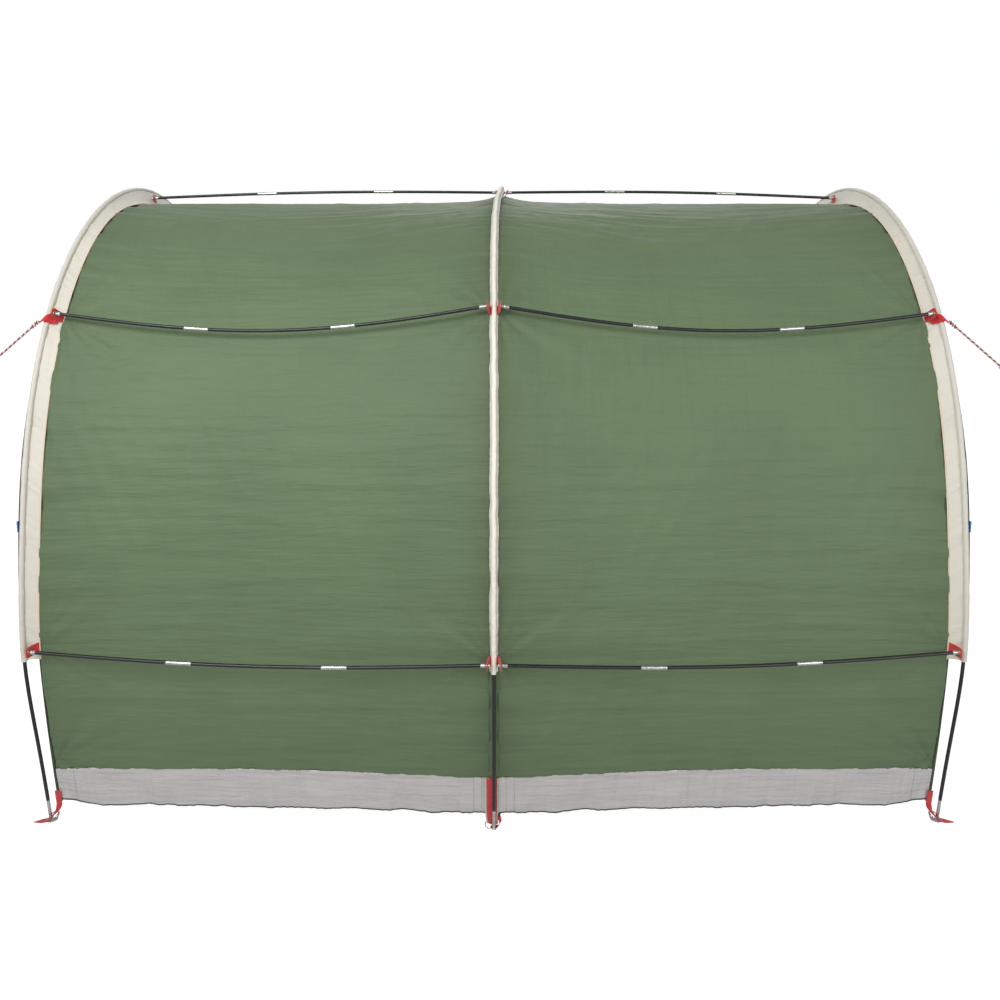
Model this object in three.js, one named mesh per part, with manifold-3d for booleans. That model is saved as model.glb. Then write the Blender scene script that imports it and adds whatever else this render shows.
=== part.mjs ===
// A two-bay tunnel tent on three hooped poles. Millimetres, +Z up, X along the tunnel, -Y to the front.
// The origin is on the ground under the middle of the tent.
import * as THREE from "three";
import { mergeVertices } from "three/addons/utils/BufferGeometryUtils.js";
import Module from "manifold-3d";

const wasm = await Module();
wasm.setup();

// ---------------------------------------------------------------- driving dimensions
const ARCH_SPACING = 1420; // from the middle hoop to each end hoop
const ARCH_HEIGHT = 2054; // pole centre at the crown of an end hoop
const FOOT_LEAN = THREE.MathUtils.degToRad(98.6); // a hoop leans outwards where it leaves the ground
const CENTRE_WIDEN = 1.054; // the middle hoop stands wider and a little taller than the end hoops
const CENTRE_RAISE = 1.003;
const HOOP_STEPS = 37; // facets along a hoop, shared by the pole and everything sewn to it
const SLEEVE_STEPS_OFF_GROUND = 4; // a sleeve leaves this many facets of each leg bare

const POLE_RADIUS = 5.5;
const FERRULE_RADIUS = 6.5;
const FERRULE_LENGTH = 78;
const TIP_RADIUS = 4.2;
const TIP_LENGTH = 26;
const TIP_PAST = 9; // how far a tip sticks out past its grommet

const CLOTH = 3; // solid thickness that stands for a layer of cloth
const SKIN_OFFSET = -12; // the cloth's mid-surface lies this far inside the pole's centre line
const SLEEVE_RADIUS = 12;
const SLEEVE_BORE = 9.2;
const BAND_WIDTH = 48; // from an end hoop's centre to the seam with the fly
const GAP = 0.5;
const SEAM_GAP = 2.5; // between the fly and a sleeve's band, whose facets don't line up
const FLY_SAG = 45; // how far a bay's cloth is drawn in between two hoops, at the ridge
const FLY_LOW = 175; // the fly ends and the skirt begins, measured along the hoop
const SKIRT_LOW = 34;
const CENTRE_SEAM = 14;
const CROWN_DROP = 48; // the cloth is drawn down between the hoops at the ridge
const CROWN_REACH = 350; // how far down the slopes that reaches
const CENTRE_DROP_SHARE = 0.45; // less of it right beside the middle hoop
const CENTRE_DROP_REACH = 60;
const CENTRE_SWAY = 32; // the middle hoop's crown stands a little to the right of its feet
const GUY_DROP = 12; // a guy line leaves this much below its tab
const LEG_SPLAY = 16; // the legs of an end hoop bow outwards along X, most at SPLAY_PLACE
const SPLAY_PLACE = 580;
const SPLAY_REACH = 280;

const TAB_INSET = 30; // from an end hoop to its grommet tabs
const CENTRE_TAB_INSET = 20;
const RIDGE_TAB_INSET = 40;
const TAB_STAND_OFF = 21; // the grommet's centre lies this far outside the hoop's centre line
const RIDGE_STAND_OFF = { end: -31, centre: -15 }; // at the ridge it lies inside that line
const TAB_ROOT = 15.5; // from a ridge tab's lower edge up to its grommet
const GROMMET_RADIUS = 5;
const TAB_HALF_WIDTH = 16;
const BAND_TAPE = 26; // width of the webbing that carries a guy line
const GUY_LOOP = 8; // how far its loop stands out from the sleeve
const UPPER_TAB = { end: 1646, centre: 1680 }; // distance along the hoop from its foot
const LOWER_TAB = { end: 606, centre: 592 };
const UPPER_BOW = 66; // how deep a pole hangs below the line between its grommets
const LOWER_BOW = 24;
const RIDGE_BOW = 12;
const FERRULE_PLACES = [0.33, 0.67];

const FOOT_HEIGHT = 12;
const FOOT_GAP = 2; // between a foot pin and its pole, whose socket isn't modelled
const FOOT_FERRULE = 62; // the steel end of a hoop pole
const PIN_FLANGE = 7;
const PIN_RADIUS = 5;
const STRAP_WIDTH = 24;
const WEBBING = 2.4;
const PLATE_HALF_WIDTH = 15; // the ground tab, measured from the foot pin
const PLATE_TAIL = 42;
const PLATE_REACH = 54;
const PEG_FROM_TIP = 20;
const PEG_HOLE_RADIUS = 7;
const RISER_OFFSET = -9.1; // the riser's middle, from the pole's centre line
const RISER_BELOW_FLY = 15;

const GABLE_OUT = 1400; // outer face of an end wall
const WALL_DROP = 46; // its top edge follows the band down at the crown
const DOOR_HALF_WIDTH = 480;
const DOOR_LOW = 60;
const DOOR_HIGH = 1560;
const DOOR_ROUND = 300;

const ROPE_RADIUS = 3;
const ROPE_LENGTH = 250;
const ROPE_DIRECTION = new THREE.Vector3(1, -0.35, -0.97).normalize(); // for the right-hand side
const RUNNER_PLACE = 205;

// ---------------------------------------------------------------- materials
const finish = (color, roughness, metalness = 0) => ({ color, roughness, metalness });
const GREEN = finish(0x73846d, 0.75);
const CREAM = finish(0xdbd6c8, 0.8);
const GREY = finish(0xb0adac, 0.8);
const RED = finish(0xbb2627, 0.7);
const BLACK = finish(0x15181a, 0.35);
const STEEL = finish(0xb9bbbd, 0.3, 1);
const ZIP = finish(0x3a3f45, 0.5);
const CORD = finish(0xc23a3a, 0.8);

const tent = new THREE.Group();

function addPiece(name, geometry, look) {
  const mesh = new THREE.Mesh(geometry, new THREE.MeshStandardMaterial(look));
  mesh.name = name;
  tent.add(mesh);
  return mesh;
}

// ---------------------------------------------------------------- joining solids
function toSolid(geometry) {
  const plain = geometry.clone();
  plain.deleteAttribute("normal");
  plain.deleteAttribute("uv");
  const merged = mergeVertices(plain, 1e-3);
  return new wasm.Manifold(
    new wasm.Mesh({
      numProp: 3,
      vertProperties: merged.attributes.position.array,
      triVerts: new Uint32Array(merged.index.array),
    }),
  );
}

function join(...geometries) {
  const mesh = geometries
    .map(toSolid)
    .reduce((whole, piece) => whole.add(piece))
    .getMesh();
  const joined = new THREE.BufferGeometry();
  joined.setAttribute("position", new THREE.BufferAttribute(mesh.vertProperties, 3));
  return joined.setIndex(new THREE.BufferAttribute(mesh.triVerts, 1));
}

// ---------------------------------------------------------------- the hoop's curve
// A pole pinned at both feet bends most where it is highest, so its curvature grows with its height.
class Hoop extends THREE.Curve {
  constructor({ widen = 1, raise = 1, splay = 0, sway = 0 }) {
    super();
    const stride = 4;
    const stiffness = (2 * (1 - Math.cos(FOOT_LEAN))) / ARCH_HEIGHT ** 2;
    const leg = [];
    let [y, z, angle] = [0, 0, FOOT_LEAN];
    while (angle > 0) {
      leg.push([y, z]);
      const middle = angle - 0.5 * stride * stiffness * z;
      y += stride * Math.cos(middle);
      z += stride * Math.sin(middle);
      angle -= stride * stiffness * z;
    }
    const crown = y;
    const front = leg.map(([across, up]) => new THREE.Vector3(0, widen * (across - crown), raise * up));
    const back = front.map((p) => new THREE.Vector3(0, -p.y, p.z)).reverse();
    this.points = [...front, ...back];
    this.along = [0];
    for (let i = 1; i < this.points.length; i++)
      this.along.push(this.along[i - 1] + this.points[i].distanceTo(this.points[i - 1]));
    this.total = this.along.at(-1);
    this.splay = splay;
    this.sway = sway;
  }
  getUtoTmapping(u) {
    return u;
  }
  getPoint(t) {
    const s = t * this.total;
    let i = Math.floor((s / this.total) * (this.points.length - 2));
    i = Math.min(Math.max(i, 0), this.points.length - 2);
    while (i > 0 && this.along[i] > s) i--;
    while (i < this.points.length - 2 && this.along[i + 1] < s) i++;
    const part = (s - this.along[i]) / (this.along[i + 1] - this.along[i]);
    return this.points[i].clone().lerp(this.points[i + 1], part);
  }
  // The place s millimetres along the hoop: the pole's centre, its direction and the outward normal.
  frame(s, plane = 0) {
    const t = THREE.MathUtils.clamp(s / this.total, 0, 1);
    const along = this.getTangent(t);
    const out = new THREE.Vector3(0, -along.z, along.y);
    const at = this.getPoint(t).addScaledVector(along, s - t * this.total);
    at.x = plane + Math.sign(plane) * this.bowOut(s) + this.sway * this.crownness(s);
    return { at, along, out };
  }
  bowOut(s) {
    const fromFoot = Math.min(s, this.total - s);
    return this.splay * Math.exp(-(((fromFoot - SPLAY_PLACE) / SPLAY_REACH) ** 2));
  }
  // 1 at the crown, falling to 0 down the slopes.
  crownness(s) {
    return Math.exp(-(((s - this.total / 2) / CROWN_REACH) ** 2));
  }
  get step() {
    return this.total / HOOP_STEPS;
  }
}

const endHoop = new Hoop({ splay: LEG_SPLAY });
const centreHoop = new Hoop({ widen: CENTRE_WIDEN, raise: CENTRE_RAISE, sway: CENTRE_SWAY });
const HOOPS = [
  { name: "left", plane: -ARCH_SPACING, hoop: endHoop, kind: "end", inward: 1 },
  { name: "centre", plane: 0, hoop: centreHoop, kind: "centre", inward: 0 },
  { name: "right", plane: ARCH_SPACING, hoop: endHoop, kind: "end", inward: -1 },
];
const SIDES = [
  { name: "left", sign: -1 },
  { name: "right", sign: 1 },
];

// Moves each vertex of a straight solid, which runs along Z, to the frame at its height.
function bend(geometry, frameAt) {
  const position = geometry.getAttribute("position");
  const v = new THREE.Vector3();
  for (let i = 0; i < position.count; i++) {
    v.fromBufferAttribute(position, i);
    const frame = frameAt(v.z);
    const across = frame.out.clone().cross(frame.along);
    v.copy(across.multiplyScalar(v.x)).addScaledVector(frame.out, position.getY(i)).add(frame.at);
    position.setXYZ(i, v.x, v.y, v.z);
  }
  return geometry;
}

// The frame at the far end of the hoop is the front one turned about the tent's middle.
const fromBack = (frame) => {
  const turned = (v) => new THREE.Vector3(v.x, -v.y, v.z);
  return { at: turned(frame.at), along: turned(frame.along), out: turned(frame.out) };
};

// ---------------------------------------------------------------- rods
// A closed rod along Z with thicker or thinner stretches, given as collars.
function rod({ from, to, steps, sides = 6, radius = POLE_RADIUS, collars = [] }) {
  const inside = (s) => collars.some((c) => s > c.from - 2 && s < c.to + 2);
  const stations = [];
  for (let i = 0; i <= steps; i++) {
    const s = from + ((to - from) * i) / steps;
    if (!inside(s)) stations.push([s, 0, radius]);
  }
  for (const c of collars) {
    if (c.from > from) stations.push([c.from, -1, radius]);
    stations.push([c.from, 0, c.radius], [c.to, 0, c.radius]);
    if (c.to < to) stations.push([c.to, 1, radius]);
  }
  stations.sort((a, b) => a[0] - b[0] || a[1] - b[1]);
  const profile = stations.map(([s, , r]) => new THREE.Vector2(r, s));
  profile.unshift(new THREE.Vector2(0, from));
  profile.push(new THREE.Vector2(0, to));
  return new THREE.LatheGeometry(profile, sides).rotateX(Math.PI / 2);
}

function addHoopPole({ name, plane, hoop }) {
  const from = FOOT_HEIGHT + FOOT_GAP;
  const collars = [
    { from, to: from + FOOT_FERRULE, radius: FERRULE_RADIUS },
    { from: hoop.total - from - FOOT_FERRULE, to: hoop.total - from, radius: FERRULE_RADIUS },
  ];
  const straight = rod({ from, to: hoop.total - from, steps: HOOP_STEPS, collars });
  addPiece(`hoop_pole_${name}`, bend(straight, (s) => hoop.frame(s, plane)), BLACK);
}

// ---------------------------------------------------------------- pole sleeves
function sleeveSection(inward) {
  const corners = [];
  for (let i = 0; i < 6; i++) {
    const a = ((i - 1) * Math.PI) / 3;
    corners.push([SLEEVE_RADIUS * Math.cos(a), SLEEVE_RADIUS * Math.sin(a)]);
  }
  const flat = -SLEEVE_RADIUS * Math.sin(Math.PI / 3);
  const low = SKIN_OFFSET - CLOTH / 2;
  if (inward)
    corners.push([-SLEEVE_RADIUS / 2, low], [BAND_WIDTH - GAP, low], [BAND_WIDTH - GAP, flat]);
  const flip = inward > 0 ? -1 : 1;
  const outline = new THREE.Shape(corners.map(([x, y]) => new THREE.Vector2(flip * x, y)));
  const bore = new THREE.Path();
  for (let i = 0; i < 6; i++) {
    const a = (i * Math.PI) / 3;
    const p = [SLEEVE_BORE * Math.cos(a), SLEEVE_BORE * Math.sin(a)];
    if (i) bore.lineTo(...p);
    else bore.moveTo(...p);
  }
  bore.closePath();
  outline.holes.push(bore);
  return outline;
}

function addSleeve({ name, plane, hoop, inward }) {
  const steps = HOOP_STEPS - 2 * SLEEVE_STEPS_OFF_GROUND;
  const depth = steps * hoop.step;
  const straight = new THREE.ExtrudeGeometry(sleeveSection(inward), { depth, steps, bevelEnabled: false });
  straight.translate(0, 0, SLEEVE_STEPS_OFF_GROUND * hoop.step);
  const position = straight.getAttribute("position");
  for (let i = 0; inward && i < position.count; i++) {
    const x = Math.abs(position.getX(i));
    if (Math.sign(position.getX(i)) !== -Math.sign(inward) || x < BAND_WIDTH / 2) continue;
    position.setY(i, position.getY(i) - CROWN_DROP * hoop.crownness(position.getZ(i)));
  }
  addPiece(`sleeve_${name}`, bend(straight, (s) => hoop.frame(s, plane)), CREAM);
}

// ---------------------------------------------------------------- fly and skirts
// The cloth of one bay, u from the middle hoop (0) to the end hoop (1), s along the hoops.
function bayPoint(sign, u, fraction, lift) {
  const near = centreHoop.frame(fraction * centreHoop.total);
  const far = endHoop.frame(fraction * endHoop.total);
  const at = near.at.clone().lerp(far.at, u);
  const out = near.out.clone().lerp(far.out, u).normalize();
  const s = fraction * endHoop.total;
  const seam = ARCH_SPACING - BAND_WIDTH - SEAM_GAP + endHoop.bowOut(s);
  const crown = endHoop.crownness(s);
  const beside = Math.exp((-u * (ARCH_SPACING - BAND_WIDTH)) / CENTRE_DROP_REACH);
  const slopes = FLY_SAG * 4 * u * (1 - u) * (0.25 + 0.75 * Math.sin(Math.PI * fraction));
  const ridge = CROWN_DROP * (1 - (1 - CENTRE_DROP_SHARE) * beside);
  const sag = THREE.MathUtils.lerp(slopes, ridge, crown);
  at.x = sign * THREE.MathUtils.lerp(CENTRE_SEAM, seam, u) + (1 - u) * CENTRE_SWAY * crown;
  return at.addScaledVector(out, SKIN_OFFSET + lift - sag);
}

function clothPatch(sign, fromLength, toLength, across, along) {
  const patch = new THREE.BoxGeometry(1, 1, CLOTH, across, along, 1);
  const position = patch.getAttribute("position");
  for (let i = 0; i < position.count; i++) {
    const u = sign < 0 ? 0.5 - position.getX(i) : 0.5 + position.getX(i);
    const s = THREE.MathUtils.lerp(fromLength, toLength, 0.5 + position.getY(i));
    const p = bayPoint(sign, u, s / endHoop.total, position.getZ(i));
    position.setXYZ(i, p.x, p.y, p.z);
  }
  return patch;
}

function addBay({ name, sign }) {
  const total = endHoop.total;
  addPiece(`fly_${name}`, clothPatch(sign, FLY_LOW, total - FLY_LOW, 8, 30), GREEN);
  addPiece(`skirt_${name}_front`, clothPatch(sign, SKIRT_LOW, FLY_LOW - 2 * GAP, 8, 1), GREY);
  addPiece(`skirt_${name}_back`, clothPatch(sign, total - FLY_LOW + 2 * GAP, total - SKIRT_LOW, 8, 1), GREY);
}

// ---------------------------------------------------------------- grommet tabs
function ring(cx, cy, radius, sides) {
  const path = new THREE.Path();
  for (let i = 0; i < sides; i++) {
    const a = ((i + 0.5) * 2 * Math.PI) / sides;
    const p = [cx + radius * Math.cos(a), cy + radius * Math.sin(a)];
    if (i) path.lineTo(...p);
    else path.moveTo(...p);
  }
  path.closePath();
  return path;
}

// A webbing tab that stands up from the cloth, with a grommet hole for a pole tip.
function tabGeometry(standOff = TAB_STAND_OFF, top = standOff) {
  const low = standOff < 0 ? standOff - TAB_ROOT : SKIN_OFFSET + CLOTH / 2 + GAP;
  const high = top + TAB_HALF_WIDTH - 4;
  const w = TAB_HALF_WIDTH;
  const plate = new THREE.Shape([
    new THREE.Vector2(-w, low),
    new THREE.Vector2(w, low),
    new THREE.Vector2(w, high - 10),
    new THREE.Vector2(w - 10, high),
    new THREE.Vector2(10 - w, high),
    new THREE.Vector2(-w, high - 10),
  ]);
  plate.holes.push(ring(0, standOff, GROMMET_RADIUS, 8));
  return new THREE.ExtrudeGeometry(plate, { depth: CLOTH, bevelEnabled: false }).translate(0, 0, -CLOTH / 2);
}

// The band that carries a guy line: it passes over the sleeve and ends in a flat loop on the outer side.
function guyBandGeometry(outward) {
  const reach = TAB_INSET + CLOTH / 2;
  const inner = SLEEVE_RADIUS + 0.6;
  const outer = inner + 2.2;
  const strip = new THREE.Shape();
  strip.moveTo(-reach, inner);
  strip.lineTo(inner * 0.6, inner);
  strip.lineTo(inner, inner * 0.5);
  strip.lineTo(inner, 0);
  strip.lineTo(inner + GUY_LOOP, 0);
  strip.lineTo(inner + GUY_LOOP, 5);
  strip.lineTo(outer, 5);
  strip.lineTo(inner * 0.6 + 2, outer);
  strip.lineTo(-reach, outer);
  strip.closePath();
  const band = new THREE.ExtrudeGeometry(strip, { depth: BAND_TAPE, bevelEnabled: false });
  band.translate(0, 0, -BAND_TAPE / 2);
  if (outward > 0) band.rotateY(Math.PI);
  return band;
}

function tabFrame(hoop, plane, s, front) {
  const frame = hoop.frame(s, plane);
  return front ? frame : fromBack(frame);
}

function placeTab(frame, x, standOff, top) {
  const matrix = new THREE.Matrix4();
  const side = frame.along.clone().cross(frame.out);
  matrix.makeBasis(frame.along, frame.out, side).setPosition(frame.at.clone().setX(x));
  return tabGeometry(standOff, top).applyMatrix4(matrix);
}

function placeGuyBand(frame, sign) {
  const matrix = new THREE.Matrix4();
  const across = frame.out.clone().cross(frame.along);
  matrix.makeBasis(across, frame.out, frame.along).setPosition(frame.at);
  const towardsOutside = Math.sign(across.x) !== sign;
  return guyBandGeometry(towardsOutside ? 1 : -1).applyMatrix4(matrix);
}

function addTabs() {
  for (const { name, plane, hoop, kind, inward } of HOOPS) {
    const inset = (s) => plane + inward * (TAB_INSET - hoop.bowOut(s));
    for (const [side, front] of [["front", true], ["back", false]]) {
      const upper = tabFrame(hoop, plane, UPPER_TAB[kind], front);
      const lower = tabFrame(hoop, plane, LOWER_TAB[kind], front);
      if (kind === "end") {
        const plate = placeTab(upper, inset(UPPER_TAB.end));
        addPiece(`tab_${name}_upper_${side}`, join(plate, placeGuyBand(upper, -inward)), RED);
        addPiece(`tab_${name}_lower_${side}`, placeTab(lower, inset(LOWER_TAB.end)), RED);
      } else {
        addPiece(`tab_${name}_upper_${side}`, centreTab(upper), RED);
        addPiece(`tab_${name}_lower_${side}`, centreTab(lower), RED);
      }
    }
    const crown = hoop.frame(hoop.total / 2, plane);
    const ridgeTab =
      kind === "end"
        ? placeTab(crown, plane + inward * RIDGE_TAB_INSET, RIDGE_STAND_OFF.end)
        : centreTab(crown, RIDGE_STAND_OFF.centre, TAB_HALF_WIDTH / 2);
    addPiece(`tab_${name}_ridge`, ridgeTab, RED);
  }
}

// On the middle hoop one strip of webbing crosses over the sleeve and carries a grommet on each side.
function centreTab(frame, standOff, top) {
  const matrix = new THREE.Matrix4();
  const side = frame.along.clone().cross(frame.out);
  matrix.makeBasis(frame.along, frame.out, side).setPosition(frame.at);
  const bridge = new THREE.BoxGeometry(2 * TAB_HALF_WIDTH - 6, CLOTH, 2 * CENTRE_TAB_INSET);
  bridge.translate(0, SLEEVE_RADIUS + 1 + CLOTH / 2, 0).applyMatrix4(matrix);
  const plates = [-1, 1].map((side) =>
    placeTab(frame, frame.at.x + side * CENTRE_TAB_INSET, standOff, top),
  );
  return join(bridge, ...plates);
}

// ---------------------------------------------------------------- spreader poles between the hoops
function grommet(hoop, plane, s, front, standOff = TAB_STAND_OFF) {
  const frame = tabFrame(hoop, plane, s, front);
  return frame.at.clone().addScaledVector(frame.out, standOff);
}

function addSpreader(name, outer, inner, bow, bowDirection) {
  const chord = inner.clone().sub(outer);
  const length = chord.length();
  const direction = chord.clone().normalize();
  const collars = FERRULE_PLACES.map((t) => ({
    from: t * length - FERRULE_LENGTH / 2,
    to: t * length + FERRULE_LENGTH / 2,
    radius: FERRULE_RADIUS,
  }));
  collars.push({ from: -TIP_PAST, to: TIP_LENGTH - TIP_PAST, radius: TIP_RADIUS });
  collars.push({ from: length + TIP_PAST - TIP_LENGTH, to: length + TIP_PAST, radius: TIP_RADIUS });
  const straight = rod({ from: -TIP_PAST, to: length + TIP_PAST, steps: 12, collars });
  const down = bowDirection.clone().addScaledVector(direction, -bowDirection.dot(direction)).normalize();
  const centreLine = (s) => {
    const t = s / length;
    const at = outer.clone().addScaledVector(direction, s).addScaledVector(down, bow * Math.sin(Math.PI * t));
    const slope = ((bow * Math.PI) / length) * Math.cos(Math.PI * t);
    const along = direction.clone().addScaledVector(down, slope).normalize();
    const out = down.clone().addScaledVector(along, -down.dot(along)).normalize().negate();
    return { at, along, out };
  };
  addPiece(name, bend(straight, centreLine), BLACK);
}

function addSpreaders({ name, sign }) {
  const down = new THREE.Vector3(0, 0, -1);
  const up = new THREE.Vector3(0, 0, 1);
  const endX = sign * (ARCH_SPACING - TAB_INSET);
  const centreX = sign * CENTRE_TAB_INSET;
  for (const [side, front] of [["front", true], ["back", false]]) {
    const outerUpper = grommet(endHoop, endX, UPPER_TAB.end, front);
    const innerUpper = grommet(centreHoop, centreX, UPPER_TAB.centre, front);
    addSpreader(`spreader_${name}_upper_${side}`, outerUpper, innerUpper, UPPER_BOW, down);
    const outerLower = grommet(endHoop, endX, LOWER_TAB.end, front);
    const innerLower = grommet(centreHoop, centreX, LOWER_TAB.centre, front);
    addSpreader(`spreader_${name}_lower_${side}`, outerLower, innerLower, LOWER_BOW, down);
  }
  const crownX = sign * (ARCH_SPACING - RIDGE_TAB_INSET);
  const outerCrown = grommet(endHoop, crownX, endHoop.total / 2, true, RIDGE_STAND_OFF.end);
  const innerCrown = grommet(centreHoop, centreX, centreHoop.total / 2, true, RIDGE_STAND_OFF.centre);
  addSpreader(`spreader_${name}_ridge`, outerCrown, innerCrown, RIDGE_BOW, up);
}

// ---------------------------------------------------------------- feet
function addFoot({ name, plane, hoop, kind, inward }, side, front) {
  const foot = tabFrame(hoop, plane, 0, front).at;
  const outY = Math.sign(foot.y);
  const profile = [
    [0, 0],
    [PIN_FLANGE, 0],
    [PIN_FLANGE, 4],
    [PIN_RADIUS, 5],
    [PIN_RADIUS, FOOT_HEIGHT],
    [0, FOOT_HEIGHT],
  ].map(([r, z]) => new THREE.Vector2(r, z));
  const pin = new THREE.LatheGeometry(profile, 12).rotateX(Math.PI / 2);
  addPiece(`foot_pin_${name}_${side}`, pin.translate(foot.x, foot.y, 0), STEEL);

  // The ground tab lies flat, with an eye round the foot pin and a hole for a peg. It reaches outwards
  // from an end hoop and back under the cloth from the middle one.
  const isEnd = kind === "end";
  const short = isEnd ? -PLATE_TAIL : -PLATE_HALF_WIDTH;
  const plate = new THREE.Shape([
    new THREE.Vector2(short, -PLATE_HALF_WIDTH),
    new THREE.Vector2(PLATE_REACH - 12, -PLATE_HALF_WIDTH),
    new THREE.Vector2(PLATE_REACH, -8),
    new THREE.Vector2(PLATE_REACH, 8),
    new THREE.Vector2(PLATE_REACH - 12, PLATE_HALF_WIDTH),
    new THREE.Vector2(short, PLATE_HALF_WIDTH),
  ]);
  plate.holes.push(ring(0, 0, PIN_FLANGE + 1, 12), ring(PLATE_REACH - PEG_FROM_TIP, 0, PEG_HOLE_RADIUS, 8));
  const tab = new THREE.ExtrudeGeometry(plate, { depth: WEBBING, bevelEnabled: false });
  const turn = isEnd ? (inward > 0 ? Math.PI : 0) : (-outY * Math.PI) / 2;
  tab.rotateZ(turn).translate(foot.x, foot.y, 0);

  // The riser is sewn up the corner of the skirt, just inside the pole.
  const riserX = plane + inward * TAB_INSET;
  const top = FLY_LOW - RISER_BELOW_FLY;
  const riser = new THREE.BoxGeometry(STRAP_WIDTH, WEBBING, top, 1, 1, 2);
  riser.translate(0, RISER_OFFSET, top / 2 - 1);
  const frameAt = (s) => tabFrame(hoop, riserX, s, front);
  addPiece(`foot_strap_${name}_${side}`, join(tab, bend(riser, frameAt)), RED);
}

// ---------------------------------------------------------------- end walls
function doorOutline(shape, grow) {
  const w = DOOR_HALF_WIDTH - grow;
  const low = DOOR_LOW + grow;
  const high = DOOR_HIGH - grow;
  const r = DOOR_ROUND - grow;
  shape.moveTo(-w, low);
  shape.lineTo(w, low);
  shape.lineTo(w, high - r);
  shape.absarc(w - r, high - r, r, 0, Math.PI / 2, false);
  shape.absarc(r - w, high - r, r, Math.PI / 2, Math.PI, false);
  shape.closePath();
  return shape;
}

const upright = (geometry, x) =>
  geometry.applyMatrix4(
    new THREE.Matrix4()
      .makeBasis(new THREE.Vector3(0, 1, 0), new THREE.Vector3(0, 0, 1), new THREE.Vector3(1, 0, 0))
      .setPosition(x, 0, 0),
  );

function addEndWall({ name, sign }) {
  const inset = SKIN_OFFSET - CLOTH / 2 - GAP;
  const corners = [];
  const first = SKIRT_LOW;
  const stations = [first];
  for (let i = 1; i < HOOP_STEPS; i++) stations.push(i * endHoop.step);
  stations.push(endHoop.total - first);
  for (const s of stations) {
    const { at, out } = endHoop.frame(s);
    at.addScaledVector(out, inset - WALL_DROP * endHoop.crownness(s));
    corners.push(new THREE.Vector2(at.y, at.z));
  }
  const wall = new THREE.Shape(corners);
  wall.holes.push(doorOutline(new THREE.Path(), 0));
  const low = Math.min(sign * GABLE_OUT, sign * (GABLE_OUT - CLOTH));
  const options = { depth: CLOTH, bevelEnabled: false, curveSegments: 6 };
  addPiece(`end_wall_${name}`, upright(new THREE.ExtrudeGeometry(wall, options), low), GREEN);
  const leaf = doorOutline(new THREE.Shape(), 2);
  addPiece(`door_${name}`, upright(new THREE.ExtrudeGeometry(leaf, options), low), GREEN);

  const slider = new THREE.BoxGeometry(4, 10, 16);
  const puller = new THREE.BoxGeometry(2.4, 7, 34);
  const x = sign * (GABLE_OUT + 3);
  slider.translate(x, -DOOR_HALF_WIDTH - 10, 700);
  puller.translate(x + sign * 2, -DOOR_HALF_WIDTH - 10, 680);
  addPiece(`zip_slider_${name}`, join(slider, puller), ZIP);
}

// ---------------------------------------------------------------- guy lines
function addGuyLine({ name, sign }) {
  const frame = endHoop.frame(UPPER_TAB.end - GUY_DROP, sign * ARCH_SPACING);
  const eye = frame.at.clone().addScaledVector(frame.out, 2.5);
  eye.x += sign * (SLEEVE_RADIUS + GUY_LOOP);
  const direction = ROPE_DIRECTION.clone();
  direction.x *= sign;
  const start = eye.addScaledVector(direction, 6);
  const route = [];
  for (let i = 0; i <= 14; i++)
    route.push(start.clone().addScaledVector(direction, (ROPE_LENGTH * i) / 14));
  const section = new THREE.Shape();
  section.absarc(0, 0, ROPE_RADIUS, 0, 2 * Math.PI);
  const rope = new THREE.ExtrudeGeometry(section, {
    extrudePath: new THREE.CatmullRomCurve3(route),
    steps: 16,
    curveSegments: 4,
  });
  addPiece(`guy_line_${name}`, rope, CORD);

  const block = new THREE.Shape([
    new THREE.Vector2(-6, -6),
    new THREE.Vector2(6, -6),
    new THREE.Vector2(6, 16),
    new THREE.Vector2(-6, 16),
  ]);
  block.holes.push(ring(0, 0, ROPE_RADIUS + 0.9, 8));
  const runner = new THREE.ExtrudeGeometry(block, { depth: 26, bevelEnabled: false });
  const turn = new THREE.Quaternion().setFromUnitVectors(new THREE.Vector3(0, 0, 1), direction);
  runner.applyQuaternion(turn);
  const at = start.clone().addScaledVector(direction, RUNNER_PLACE);
  addPiece(`guy_runner_${name}`, runner.translate(at.x, at.y, at.z), STEEL);
}

// ---------------------------------------------------------------- assembly
HOOPS.forEach(addHoopPole);
HOOPS.forEach(addSleeve);
SIDES.forEach(addBay);
addTabs();
SIDES.forEach(addSpreaders);
for (const hoop of HOOPS) {
  addFoot(hoop, "front", true);
  addFoot(hoop, "back", false);
}
SIDES.forEach(addEndWall);
SIDES.forEach(addGuyLine);

export default tent;
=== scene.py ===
# A two-bay tunnel tent on hooped poles: cloth, sleeves, webbing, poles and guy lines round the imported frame.
# Metres, +Z up, X along the tunnel, -Y to the front.
import math

import bmesh
import bpy
import numpy as np
from mathutils import Matrix, Vector


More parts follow.
